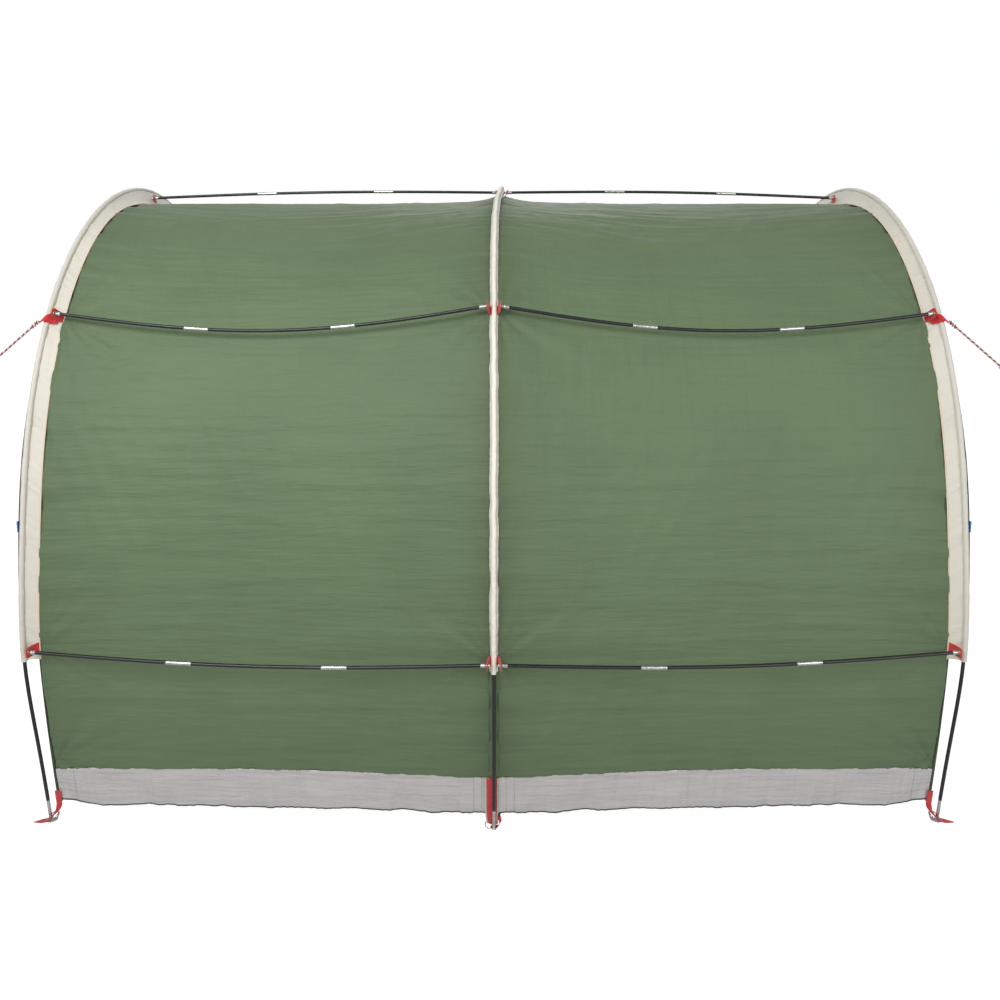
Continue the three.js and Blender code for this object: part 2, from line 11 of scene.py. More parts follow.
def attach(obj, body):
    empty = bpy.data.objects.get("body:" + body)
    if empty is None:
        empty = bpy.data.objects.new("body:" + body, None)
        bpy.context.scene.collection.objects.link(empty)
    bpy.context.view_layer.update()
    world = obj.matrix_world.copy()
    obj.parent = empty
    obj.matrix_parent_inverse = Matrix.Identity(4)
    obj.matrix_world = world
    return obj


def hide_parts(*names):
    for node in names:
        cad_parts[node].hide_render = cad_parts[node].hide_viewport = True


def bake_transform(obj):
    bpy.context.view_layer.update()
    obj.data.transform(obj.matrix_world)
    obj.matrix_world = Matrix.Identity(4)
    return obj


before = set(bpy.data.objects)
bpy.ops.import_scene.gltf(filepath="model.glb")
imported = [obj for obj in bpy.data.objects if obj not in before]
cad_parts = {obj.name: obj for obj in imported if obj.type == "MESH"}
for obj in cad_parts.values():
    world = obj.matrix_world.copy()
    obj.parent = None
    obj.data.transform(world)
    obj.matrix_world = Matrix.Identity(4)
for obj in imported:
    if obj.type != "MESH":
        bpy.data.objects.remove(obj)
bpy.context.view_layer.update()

# ---------------------------------------------------------------- driving dimensions
ARCH_X = 1.420
SEAM_X = ARCH_X - 0.048  # the fly's seam with the cream band of an end hoop
CENTRE_SEAM_X = 0.014
HOOP_HEIGHT = 2.054
FOOT_LEAN = math.radians(98.6)
CENTRE_WIDEN, CENTRE_RAISE = 1.054, 1.003
CENTRE_SWAY = 0.032  # the middle hoop's crown stands a little to the right of its feet
LEG_SPLAY, SPLAY_PLACE, SPLAY_REACH = 0.016, 0.580, 0.280  # an end hoop's legs bow outwards along X
CROWN_DROP, CROWN_REACH = 0.048, 0.350  # the cloth is drawn down between the hoops at the ridge
CENTRE_DROP_SHARE, CENTRE_DROP_REACH = 0.45, 0.060
CORNER_FLARE, FLARE_REACH = 0.017, 0.42  # the cloth's lower corners are pulled out towards the end feet
POLE_RADIUS, FERRULE_RADIUS, TIP_RADIUS, COLLAR_RADIUS = 0.0055, 0.0060, 0.0043, 0.0062
FERRULE_LENGTH = 0.078
SKIN_OFFSET = -0.012
FLY_SAG, FLY_LOW, SKIRT_LOW = 0.045, 0.175, 0.034
SLEEVE_LOW = 0.566  # the sleeves' hems, measured along the hoop
SLEEVE_RADIUS = 0.0078
TAB_STAND_OFF = 0.021
TAB_INSET, CENTRE_TAB_INSET, RIDGE_TAB_INSET = 0.030, 0.020, 0.040
RIDGE_STAND_OFF = {"end": -0.031, "centre": -0.015}
UPPER_TAB = {"end": 1.646, "centre": 1.680}
LOWER_TAB = {"end": 0.606, "centre": 0.592}
UPPER_BOW, LOWER_BOW, RIDGE_BOW = 0.066, 0.024, 0.012
FERRULE_PLACES = (0.33, 0.67)
SIDES = (("left", -1), ("right", 1))
ENDS = (("front", True), ("back", False))
SMOOTH_ANGLE = math.radians(40)


# ---------------------------------------------------------------- the hoop's curve
class Hoop:
    """A pole pinned at both feet bends most where it is highest."""

    def __init__(self, widen=1.0, rise=1.0, splay=0.0, sway=0.0):
        stride = 0.004
        stiffness = 2 * (1 - math.cos(FOOT_LEAN)) / HOOP_HEIGHT**2
        leg, y, z, angle = [], 0.0, 0.0, FOOT_LEAN
        while angle > 0:
            leg.append((y, z))
            middle = angle - 0.5 * stride * stiffness * z
            y += stride * math.cos(middle)
            z += stride * math.sin(middle)
            angle -= stride * stiffness * z
        leg = np.array(leg)
        front = np.column_stack([widen * (leg[:, 0] - y), rise * leg[:, 1]])
        back = front[::-1] * [-1, 1]
        self.points = np.vstack([front, back])
        gaps = np.linalg.norm(np.diff(self.points, axis=0), axis=1)
        self.s = np.concatenate([[0], np.cumsum(gaps)])
        tangent = np.gradient(self.points, self.s, axis=0)
        self.tangent = tangent / np.linalg.norm(tangent, axis=1)[:, None]
        self.total, self.splay, self.sway = self.s[-1], splay, sway

    def frame(self, s):
        """Place, direction and outward normal, in the hoop's own plane (y, z), s metres along it."""
        s = np.asarray(s, float)
        inside = np.clip(s, 0, self.total)
        at = np.stack([np.interp(inside, self.s, self.points[:, i]) for i in (0, 1)], -1)
        along = np.stack([np.interp(inside, self.s, self.tangent[:, i]) for i in (0, 1)], -1)
        along /= np.linalg.norm(along, axis=-1)[..., None]
        out = np.stack([-along[..., 1], along[..., 0]], -1)
        return at + along * (s - inside)[..., None], along, out

    def bow_out(self, s):
        from_foot = np.minimum(s, self.total - s)
        return self.splay * np.exp(-(((from_foot - SPLAY_PLACE) / SPLAY_REACH) ** 2))

    def shift(self, s, x):
        """How far the hoop stands off its own plane, along X."""
        return np.sign(x) * self.bow_out(s) + self.sway * self.crownness(s)

    def crownness(self, s):
        return np.exp(-(((s - self.total / 2) / CROWN_REACH) ** 2))

    def place(self, s, x, lift=0.0):
        at, _, out = self.frame(s)
        y, z = at + out * lift
        return Vector((x + float(self.shift(s, x)), y, z))


END = Hoop(splay=LEG_SPLAY)
CENTRE = Hoop(CENTRE_WIDEN, CENTRE_RAISE, sway=CENTRE_SWAY)
HOOPS = (("left", -ARCH_X, END), ("centre", 0.0, CENTRE), ("right", ARCH_X, END))


def bay_points(sign, u, s, lift):
    """The cloth of one bay: u from the middle hoop (0) to the end hoop's seam (1), s along the end hoop."""
    f = s / END.total
    near, _, near_out = CENTRE.frame(f * CENTRE.total)
    far, _, far_out = END.frame(s)
    out = near_out * (1 - u)[..., None] + far_out * u[..., None]
    out /= np.linalg.norm(out, axis=-1)[..., None]
    slopes = FLY_SAG * 4 * u * (1 - u) * (0.25 + 0.75 * np.sin(np.pi * np.clip(f, 0, 1)))
    ridge = CROWN_DROP * (1 - (1 - CENTRE_DROP_SHARE) * np.exp(-u * SEAM_X / CENTRE_DROP_REACH))
    crown = END.crownness(s)
    sag = slopes * (1 - crown) + ridge * crown
    yz = near * (1 - u)[..., None] + far * u[..., None] + out * (SKIN_OFFSET + lift - sag)[..., None]
    flare = CORNER_FLARE * np.exp(-((np.minimum(s, END.total - s) / FLARE_REACH) ** 2))
    edge = SEAM_X + END.bow_out(s) + flare - CENTRE_SEAM_X
    x = sign * (CENTRE_SEAM_X + edge * u) + (1 - u) * CENTRE_SWAY * crown
    return np.concatenate([x[..., None], yz], -1)


# ---------------------------------------------------------------- smooth noise for folds
def noise(x, y, seed):
    table = np.random.default_rng(seed).uniform(-1, 1, (128, 128))
    xi, yi = np.floor(x).astype(int), np.floor(y).astype(int)
    fx, fy = x - xi, y - yi
    fx, fy = fx * fx * (3 - 2 * fx), fy * fy * (3 - 2 * fy)
    a, b = table[xi % 128, yi % 128], table[(xi + 1) % 128, yi % 128]
    c, d = table[xi % 128, (yi + 1) % 128], table[(xi + 1) % 128, (yi + 1) % 128]
    return (a * (1 - fx) + b * fx) * (1 - fy) + (c * (1 - fx) + d * fx) * fy


def folds(x, y, seed):
    """Noise with rounded troughs and sharper crests, as creased cloth has."""
    n = noise(x, y, seed)
    return 0.5 - np.abs(n) ** 0.8


# ---------------------------------------------------------------- mesh helpers
def deselect():
    if bpy.context.mode != "OBJECT":
        bpy.ops.object.mode_set(mode="OBJECT")
    bpy.ops.object.select_all(action="DESELECT")


def activate(obj):
    deselect()
    obj.select_set(True)
    bpy.context.view_layer.objects.active = obj
    return obj


def finish_piece(obj, name, smooth=SMOOTH_ANGLE):
    """Names a finished piece and puts its place in its mesh."""
    activate(obj)
    bpy.ops.object.transform_apply(location=True, rotation=True, scale=True)
    bpy.ops.object.shade_smooth_by_angle(angle=smooth)
    obj.name = obj.data.name = name
    return obj


def apply_modifier(obj, kind, **settings):
    activate(obj)
    modifier = obj.modifiers.new(kind.title(), kind)
    for key, value in settings.items():
        setattr(modifier, key, value)
    bpy.ops.object.modifier_apply(modifier=modifier.name)


def join_pieces(objects, name):
    activate(objects[0])
    for o in objects[1:]:
        o.select_set(True)
    bpy.ops.object.join()
    return finish_piece(bpy.context.view_layer.objects.active, name)


def sheet_mesh(name, points, uv):
    """A smooth quad sheet from a grid of points (rows, columns, 3) with a UV map in metres."""
    rows, columns = points.shape[:2]
    index = np.arange(rows * columns).reshape(rows, columns)
    quads = np.stack([index[:-1, :-1], index[:-1, 1:], index[1:, 1:], index[1:, :-1]], -1).reshape(-1, 4)
    mesh = bpy.data.meshes.new(name)
    mesh.from_pydata(points.reshape(-1, 3).tolist(), [], quads.tolist())
    layer = mesh.uv_layers.new(name="UVMap")
    layer.data.foreach_set("uv", uv.reshape(-1, 2)[quads.ravel()].astype(np.float32).ravel())
    mesh.polygons.foreach_set("use_smooth", np.ones(len(quads), bool))
    obj = bpy.data.objects.new(name, mesh)
    bpy.context.scene.collection.objects.link(obj)
    return obj


def tube_mesh(name, line, radius, sides=10):
    """A round tube along a line of points, with a UV map that runs along it."""
    line = np.asarray(line, float)
    tangent = np.gradient(line, axis=0)
    tangent /= np.linalg.norm(tangent, axis=1)[:, None]
    normal = np.zeros_like(line)
    start = np.cross(tangent[0], (1.0, 0, 0))
    if np.linalg.norm(start) < 0.1:
        start = np.cross(tangent[0], (0, 0, 1.0))
    normal[0] = start / np.linalg.norm(start)
    for i in range(1, len(line)):
        n = normal[i - 1] - tangent[i] * (normal[i - 1] @ tangent[i])
        normal[i] = n / np.linalg.norm(n)
    side = np.cross(tangent, normal)
    a = np.linspace(0, 2 * math.pi, sides + 1)
    ring = normal[:, None] * np.cos(a)[None, :, None] + side[:, None] * np.sin(a)[None, :, None]
    points = line[:, None] + ring * radius
    run = np.concatenate([[0], np.cumsum(np.linalg.norm(np.diff(line, axis=0), axis=1))])
    uv = np.stack(np.broadcast_arrays(a[None] / (2 * math.pi), run[:, None]), -1)
    obj = sheet_mesh(name, points, uv)
    activate(obj)
    bpy.ops.object.mode_set(mode="EDIT")
    bpy.ops.mesh.select_all(action="SELECT")
    bpy.ops.mesh.remove_doubles(threshold=1e-6)
    bpy.ops.mesh.select_mode(type="EDGE")
    bpy.ops.mesh.select_all(action="DESELECT")
    bpy.ops.mesh.select_non_manifold()
    bpy.ops.mesh.edge_face_add()
    bpy.ops.mesh.select_all(action="SELECT")
    bpy.ops.mesh.normals_make_consistent(inside=False)
    bpy.ops.object.mode_set(mode="OBJECT")
    return obj


# ---------------------------------------------------------------- materials
class Shader:
    """A node material, filled in step by step."""

    def __init__(self, name, color, roughness, metallic=0.0):
        self.material = bpy.data.materials.new(name)
        self.material.use_nodes = True
        self.nodes = self.material.node_tree.nodes
        self.links = self.material.node_tree.links
        self.bsdf = self.nodes["Principled BSDF"]
        self.bsdf.inputs["Base Color"].default_value = (*color, 1)
        self.bsdf.inputs["Roughness"].default_value = roughness
        self.bsdf.inputs["Metallic"].default_value = metallic
        self.color, self.height = None, None

    def node(self, kind, inputs=None, **settings):
        made = self.nodes.new(kind)
        for key, value in settings.items():
            setattr(made, key, value)
        for key, value in (inputs or {}).items():
            if isinstance(value, bpy.types.NodeSocket):
                self.links.new(value, made.inputs[key])
            else:
                made.inputs[key].default_value = value
        return made

    def math(self, operation, a, b=0.0, c=0.0):
        return self.node("ShaderNodeMath", {0: a, 1: b, 2: c}, operation=operation).outputs[0]

    def uv(self, scale=(1, 1, 1), turn=0.0):
        source = self.node("ShaderNodeTexCoord").outputs["UV"]
        mapping = self.node("ShaderNodeMapping", {"Vector": source, "Scale": scale, "Rotation": (0, 0, turn)})
        return mapping.outputs[0]

    def object_place(self, scale=(1, 1, 1)):
        source = self.node("ShaderNodeTexCoord").outputs["Object"]
        return self.node("ShaderNodeMapping", {"Vector": source, "Scale": scale}).outputs[0]

    def noise(self, vector, scale, detail=3.0, roughness=0.55):
        inputs = {"Vector": vector, "Scale": scale, "Detail": detail, "Roughness": roughness}
        return self.node("ShaderNodeTexNoise", inputs).outputs["Fac"]

    def split(self, vector):
        return self.node("ShaderNodeSeparateXYZ", {0: vector}).outputs

    def mix_color(self, factor, a, b, blend="MIX"):
        made = self.node("ShaderNodeMix", data_type="RGBA", blend_type=blend)
        for key, value in ((0, factor), (6, a), (7, b)):
            if isinstance(value, bpy.types.NodeSocket):
                self.links.new(value, made.inputs[key])
            else:
                made.inputs[key].default_value = value if key == 0 else (*value, 1)
        return made.outputs[2]

    def vary(self, factor, low, high, dark, light):
        """Colour between dark and light as factor goes from low to high."""
        ramp = self.node("ShaderNodeMapRange", {0: factor, 1: low, 2: high, 3: 0.0, 4: 1.0})
        return self.mix_color(ramp.outputs[0], dark, light)

    def paint(self, socket):
        self.links.new(socket, self.bsdf.inputs["Base Color"])
        return self

    def rough(self, factor, low, high):
        ramp = self.node("ShaderNodeMapRange", {0: factor, 1: 0.3, 2: 0.7, 3: low, 4: high})
        self.links.new(ramp.outputs[0], self.bsdf.inputs["Roughness"])
        return self

    def bump(self, height, strength, distance):
        """Adds one layer of relief on top of those before it."""
        inputs = {"Height": height, "Strength": strength, "Distance": distance}
        if self.height is not None:
            inputs["Normal"] = self.height
        self.height = self.node("ShaderNodeBump", inputs).outputs[0]
        self.links.new(self.height, self.bsdf.inputs["Normal"])
        return self


def tint(color, factor):
    return tuple(min(1.0, c * factor) for c in color)


def taffeta(name, color, thread, seams=(), roughness=0.62, sheen=0.14, crease=1.0, painted_shade=()):
    """Coated taffeta: a fine plain weave, soft creases and cloudy colour, with sewn lines at seams.
    A seam is (axis of the UV map, place in metres). Painted shade darkens the colour near some edges,
    each (axis, place, reach, share)."""
    m = Shader(name, color, roughness)
    uv = m.uv()
    x, y, _ = m.split(uv)
    clouds = m.noise(uv, 3.2, 4.0)
    base = m.vary(clouds, 0.3, 0.7, tint(color, 0.94), tint(color, 1.05))
    dust = m.noise(m.uv((1, 1, 1)), 60.0, 4.0)
    base = m.mix_color(m.math("MULTIPLY", dust, 0.10), base, tint(color, 1.18))
    # Painted shade: near each given edge the colour darkens towards 0.3 of itself, where the cloth falls into
    # shade.
    for axis, place, reach, share in painted_shade:
        off = m.math("ABSOLUTE", m.math("SUBTRACT", y if axis else x, place))
        near = m.math("MULTIPLY", m.math("EXPONENT", m.math("MULTIPLY", off, -1 / reach)), share)
        base = m.mix_color(near, base, tint(color, 0.3))
    warp = m.math("SINE", m.math("MULTIPLY", x, 2 * math.pi / 0.0011))
    weft = m.math("SINE", m.math("MULTIPLY", y, 2 * math.pi / 0.0011))
    weave = m.math("MULTIPLY", warp, weft)
    m.bump(weave, 0.12, 0.0002)
    long_creases = m.noise(m.uv((2.2, 30.0, 1)), 1.0, 3.0)
    slant_creases = m.noise(m.uv((22.0, 4.0, 1), 0.5), 1.0, 3.0)
    m.bump(long_creases, 0.5 * crease, 0.006)
    m.bump(slant_creases, 0.5 * crease, 0.008)
    for turn, wide, long, depth in ((0.62, 16.0, 2.0, 0.012), (-0.75, 11.0, 1.6, 0.014)):
        streaks = m.noise(m.uv((long, wide, 1), turn), 1.0, 4.0, 0.6)
        m.bump(streaks, 0.45 * crease, depth)
    for axis, place in seams:
        across, run = (x, y) if axis == 0 else (y, x)
        off = m.math("ABSOLUTE", m.math("SUBTRACT", across, place))
        line = m.math("LESS_THAN", off, 0.0009)
        stitch = m.math("LESS_THAN", m.math("FRACT", m.math("MULTIPLY", run, 1 / 0.0048)), 0.66)
        mask = m.math("MULTIPLY", line, stitch)
        base = m.mix_color(mask, base, thread)
        groove = m.math("SUBTRACT", 1.0, m.math("MINIMUM", m.math("MULTIPLY", off, 1 / 0.004), 1.0))
        m.bump(m.math("SUBTRACT", mask, m.math("MULTIPLY", groove, 0.8)), 0.6, 0.0012)
    m.paint(base)
    m.bsdf.inputs["Sheen Weight"].default_value = sheen
    m.bsdf.inputs["Sheen Roughness"].default_value = 0.45
    m.bsdf.inputs["Specular IOR Level"].default_value = 0.35
    return m.material


def webbing(name, color, rib=0.0021):
    """Woven tape: slanting ribs, wear and lint, and a line of stitching near its edge."""
    m = Shader(name, color, 0.75)
    place = m.object_place()
    wear = m.noise(place, 90.0, 4.0)
    base = m.vary(wear, 0.3, 0.75, tint(color, 0.72), tint(color, 1.12))
    lint = m.noise(place, 900.0, 2.0)
    base = m.mix_color(m.math("MULTIPLY", lint, 0.2), base, tint(color, 1.5))
    x, y, _ = m.split(m.uv())
    slant = m.math("ADD", y, m.math("MULTIPLY", m.math("ABSOLUTE", m.math("SUBTRACT", x, 0.013)), 0.8))
    ribs = m.math("SINE", m.math("MULTIPLY", slant, 2 * math.pi / rib))
    threads = m.math("SINE", m.math("MULTIPLY", x, 2 * math.pi / 0.0012))
    m.bump(m.math("ADD", ribs, m.math("MULTIPLY", threads, 0.4)), 0.55, 0.0005)
    stitched = m.math("LESS_THAN", m.math("ABSOLUTE", m.math("SUBTRACT", x, 0.0045)), 0.0005)
    dashes = m.math("LESS_THAN", m.math("FRACT", m.math("MULTIPLY", y, 1 / 0.0040)), 0.62)
    mask = m.math("MULTIPLY", stitched, dashes)
    base = m.mix_color(mask, base, tint(color, 0.45))
    m.bump(mask, 0.7, 0.0006)
    m.paint(base)
    m.bsdf.inputs["Sheen Weight"].default_value = 0.3
    return m.material


def fibreglass(name, color):
    """A pultruded rod: fine streaks along it, light scuffs and a thin gloss."""
    m = Shader(name, color, 0.34)
    streak = m.noise(m.uv((60.0, 2.5, 1)), 1.0, 3.0)
    scuff = m.noise(m.object_place(), 45.0, 5.0)
    base = m.vary(streak, 0.3, 0.7, tint(color, 0.7), tint(color, 1.5))
    base = m.mix_color(m.math("GREATER_THAN", scuff, 0.68), base, tint(color, 2.2))
    m.paint(base).rough(scuff, 0.26, 0.5)
    m.bump(streak, 0.1, 0.0003)
    m.bsdf.inputs["Coat Weight"].default_value = 0.25
    m.bsdf.inputs["Coat Roughness"].default_value = 0.3
    return m.material


def metal(name, color, roughness=0.28):
    """Plated or solid metal with fine turning marks, smudges and dulled patches."""
    m = Shader(name, color, roughness, 1.0)
    smudge = m.noise(m.object_place(), 70.0, 4.0)
    turning = m.noise(m.object_place((400.0, 2500.0, 2500.0)), 1.0, 2.0)
    base = m.vary(smudge, 0.3, 0.7, tint(color, 0.8), tint(color, 1.08))
    m.paint(base).rough(smudge, roughness * 0.8, roughness * 1.6)
    m.bump(turning, 0.12, 0.0002)
    return m.material


def candy_cord(name, red, white, edge):
    """A braided guy line: red and white strands that wind round it, flecked at the crossings."""
    m = Shader(name, red, 0.8)
    x, y, _ = m.split(m.uv())
    wind = m.math("FRACT", m.math("ADD", m.math("MULTIPLY", y, 1 / 0.017), x))
    stripe = m.math("LESS_THAN", wind, 0.42)
    counter_wind = m.math("FRACT", m.math("SUBTRACT", m.math("MULTIPLY", y, 1 / 0.0085), x))
    fleck = m.math("LESS_THAN", counter_wind, 0.16)
    base = m.mix_color(stripe, red, white)
    base = m.mix_color(fleck, base, edge)
    m.paint(base)
    along, around = m.math("MULTIPLY", y, 1 / 0.0034), m.math("MULTIPLY", x, 4.0)
    plait = [m.math("SINE", m.math("MULTIPLY", m.math(way, along, around), 2 * math.pi))
             for way in ("ADD", "SUBTRACT")]
    m.bump(m.math("MAXIMUM", *plait), 0.9, 0.0006)
    m.bsdf.inputs["Sheen Weight"].default_value = 0.2
    return m.material


def plastic(name, color, roughness=0.45):
    m = Shader(name, color, roughness)
    grain = m.noise(m.object_place(), 300.0, 3.0)
    m.paint(m.vary(grain, 0.3, 0.7, tint(color, 0.85), tint(color, 1.1)))
    m.rough(grain, roughness, roughness + 0.12)
    m.bump(grain, 0.15, 0.0003)
    return m.material


def srgb(r, g, b):
    return tuple(((c / 255 + 0.055) / 1.055) ** 2.4 if c > 10 else c / 255 / 12.92 for c in (r, g, b))


GREEN, CREAM, GREY = srgb(100, 119, 87), srgb(213, 209, 197), srgb(189, 186, 185)
GREEN_THREAD, GREY_THREAD = srgb(98, 116, 88), srgb(150, 148, 142)
RED, DARK_CLOTH_AND_HEM_SHADE, PEACH = srgb(214, 38, 44), srgb(42, 56, 44), srgb(232, 210, 184)
ACROSS, ALONG = 0, 1
BAY_WIDTH = SEAM_X - CENTRE_SEAM_X
YOKE_SEAM = 1.83  # a horizontal seam on each slope of the fly, measured along the hoop

fly_seams = [(ACROSS, 0.006), (ACROSS, BAY_WIDTH - 0.006), (ALONG, YOKE_SEAM), (ALONG, END.total - YOKE_SEAM)]
fly_seams += [(ALONG, FLY_LOW + 0.008), (ALONG, END.total - FLY_LOW - 0.008)]
# Painted shade on the fly: darker beside the centre seam, the end seams and the lower hems, where the cloth
# slopes into shade.
fly_painted_shade = [(ACROSS, 0.0, 0.055, 0.30), (ACROSS, 0.0, 0.30, 0.10), (ACROSS, BAY_WIDTH, 0.10, 0.18)]
fly_painted_shade += [(ALONG, FLY_LOW, 0.22, 0.16), (ALONG, END.total - FLY_LOW, 0.22, 0.16)]
fly_cloth = taffeta("fly_cloth", GREEN, GREEN_THREAD, fly_seams, crease=1.5, painted_shade=fly_painted_shade)
wall_cloth = taffeta("wall_cloth", tint(GREEN, 0.96), GREEN_THREAD)
sleeve_cloth = taffeta("sleeve_cloth", CREAM, GREY_THREAD, [(ACROSS, 0.041)], sheen=0.15, crease=0.5)
cover_seams = [(ACROSS, 0.003), (ACROSS, 0.038)]
# Painted light: the centre cover is the sleeves' cream made 1.28 times brighter, to lift the shade on its
# rounded surface.
cover_cloth_painted_light = taffeta("cover_cloth_painted_light", tint(CREAM, 1.28), GREY_THREAD, cover_seams, sheen=0.15, crease=0.5)
skirt_seams = [(ACROSS, 0.024), (ACROSS, 0.049), (ACROSS, BAY_WIDTH - 0.055)]
skirt_cloth = taffeta("skirt_cloth", GREY, GREY_THREAD, skirt_seams, sheen=0.15, crease=1.6)
# Partly painted shade: on the strip along each skirt's lower edge this dark colour stands for the shade under
# the hem. The centre foot gussets use it as dark floor cloth.
dark_cloth_and_hem_shade = taffeta("dark_cloth_and_hem_shade", DARK_CLOTH_AND_HEM_SHADE, tint(DARK_CLOTH_AND_HEM_SHADE, 2.0), [(ALONG, 0.004)], crease=0.5)
piping_cloth = taffeta("piping_cloth", PEACH, PEACH, crease=0.2)
red_tape = webbing("red_tape", RED)
grey_tape = webbing("grey_tape", srgb(150, 150, 152))
black_rod = fibreglass("black_fibreglass", srgb(17, 20, 20))
steel = metal("plated_steel", srgb(214, 214, 216), 0.24)
brass = metal("brass", srgb(214, 176, 98), 0.3)
cord_braid = candy_cord("guy_cord", srgb(196, 40, 46), srgb(232, 224, 220), srgb(116, 138, 126))
zip_plastic = plastic("zip_plastic", srgb(58, 62, 68))
puller_blue = plastic("puller_blue", srgb(60, 130, 200))


def dress(obj, material, body, replaces=()):
    """Gives a finished piece its material and body, and hides the CAD nodes it stands for."""
    obj.data.materials.clear()
    obj.data.materials.append(material)
    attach(obj, body)
    if replaces:
        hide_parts(*replaces)
    return obj


# ---------------------------------------------------------------- camera and light
SENSOR_MM, LENS_MM, FRAME_SHIFT = 36, 30.708, (0.006, -0.160)
EYE, LOOK_DOWN = (0, -3.51, 1.81), math.radians(6)
BACKDROP_SEEN, BACKDROP_LIGHT = 1.0, 0.38
FLOOR_GREY, FLOOR_SEEN, FLOOR_LIGHT = 0.30, 0.94, 0.30


def set_camera():
    data = bpy.data.cameras.new("camera")
    camera = bpy.data.objects.new("camera", data)
    bpy.context.scene.collection.objects.link(camera)
    data.sensor_width = SENSOR_MM
    data.lens = LENS_MM
    data.shift_x, data.shift_y = FRAME_SHIFT
    camera.location = EYE
    camera.rotation_euler = (math.radians(90) - LOOK_DOWN, 0, 0)
    bpy.context.scene.camera = camera


def add_light(name, place, aim, size, power):
    data = bpy.data.lights.new(name, "AREA")
    data.shape, data.size, data.energy = "DISK", size, power
    light = bpy.data.objects.new(name, data)
    bpy.context.scene.collection.objects.link(light)
    light.location = place
    light.rotation_euler = (Vector(aim) - Vector(place)).to_track_quat("-Z", "Y").to_euler()


def camera_only(nodes, links, seen, unseen):
    """A strength that is one value to the camera and another to everything it lights."""
    path = nodes.new("ShaderNodeLightPath")
    mix = nodes.new("ShaderNodeMix")
    mix.inputs[2].default_value, mix.inputs[3].default_value = unseen, seen
    links.new(path.outputs["Is Camera Ray"], mix.inputs[0])
    return mix.outputs[0]


def set_studio():
    bpy.context.scene.view_settings.view_transform = "Standard"
    world = bpy.data.worlds.new("studio")
    bpy.context.scene.world = world
    world.use_nodes = True
    tree = world.node_tree
    background = tree.nodes["Background"]
    background.inputs[0].default_value = (1, 1, 1, 1)
    seen = camera_only(tree.nodes, tree.links, BACKDROP_SEEN, BACKDROP_LIGHT)
    tree.links.new(seen, background.inputs[1])
    deselect()
    bpy.ops.mesh.primitive_plane_add(size=80, location=(0, 0, 0))
    floor = bpy.context.object
    floor.name = "floor"
    pale = bpy.data.materials.new("pale_floor")
    pale.use_nodes = True
    tree = pale.node_tree
    bsdf = tree.nodes["Principled BSDF"]
    bsdf.inputs["Base Color"].default_value = (FLOOR_GREY, FLOOR_GREY, FLOOR_GREY, 1)
    bsdf.inputs["Roughness"].default_value = 1.0
    bsdf.inputs["Specular IOR Level"].default_value = 0.0
    bsdf.inputs["Emission Color"].default_value = (1, 1, 1, 1)
    seen = camera_only(tree.nodes, tree.links, FLOOR_SEEN, FLOOR_LIGHT)
    tree.links.new(seen, bsdf.inputs["Emission Strength"])
    floor.data.materials.append(pale)
    add_light("key", (-2.0, -4.5, 4.3), (0, 0, 1.0), 2.6, 170)
    add_light("fill", (3.2, -5.5, 2.8), (0, 0, 1.0), 3.0, 85)
    add_light("back", (0.5, 5.5, 5.0), (0, 0, 1.2), 4.0, 90)


set_camera()
set_studio()


# ---------------------------------------------------------------- guy lines
ROPE_DIRECTION = Vector((1, -0.35, -0.97)).normalized()
ROPE_DIAMETER = 0.006
ROPE_LENGTH = 0.250
GUY_LOOP, GUY_DROP = 0.008, 0.012


def rope_route(sign):
    """The taut line runs straight from the guy band to its knotted end just outside the view."""
    at, _, out = END.frame(UPPER_TAB["end"] - GUY_DROP)
    y, z = at + out * 0.0025
    start = Vector((sign * (ARCH_X + 0.012 + GUY_LOOP), y, z))
    direction = Vector((sign * ROPE_DIRECTION.x, ROPE_DIRECTION.y, ROPE_DIRECTION.z))
    start += direction * 0.006
    return [start + direction * (ROPE_LENGTH * i / 14) for i in range(15)], direction


def add_guy_line(name, sign):
    route, _ = rope_route(sign)
    line = np.array([p[:] for p in route])
    dense = np.array([np.interp(np.linspace(0, 14, 90), range(15), line[:, i]) for i in range(3)]).T
    rope = tube_mesh(f"guy_rope_{name}", dense, ROPE_DIAMETER / 2, sides=12)
    dress(rope, cord_braid, "tent", [f"guy_line_{name}"])


def add_guy_knot(name, sign):
    """Turns of the line wound round itself where it leaves the band, and its spliced tail."""
    route, direction = rope_route(sign)
    start = np.array(route[0][:])
    d = np.array(direction[:])
    side = np.cross(d, (0, 0, 1.0))
    side /= np.linalg.norm(side)
    up = np.cross(side, d)
    t = np.linspace(0, 1, 120)
    angle = 2 * math.pi * 3.0 * t
    run = 0.004 + 0.026 * t
    ring = 0.0046 * (np.cos(angle)[:, None] * side + np.sin(angle)[:, None] * up)
    knot = tube_mesh(f"guy_knot_{name}", start + d * run[:, None] + ring, 0.0019, sides=10)
    dress(knot, cord_braid, "tent")
    stop = np.array(route[-1][:])
    run = -0.0045 + 0.0050 * t
    ring = 0.0042 * (np.cos(angle / 2)[:, None] * side + np.sin(angle / 2)[:, None] * up)
    tail = tube_mesh(f"guy_end_knot_{name}", stop + d * run[:, None] + ring, 0.0019, sides=10)
    dress(tail, cord_braid, "tent")


for side, sign in SIDES:
    add_guy_line(side, sign)
    add_guy_knot(side, sign)


# ---------------------------------------------------------------- fly, skirts and hems
FLY_ROWS, FLY_COLUMNS = 520, 180
SKIRT_ROWS, SKIRT_COLUMNS = 60, 420
SLEEVE_ROWS = 1100


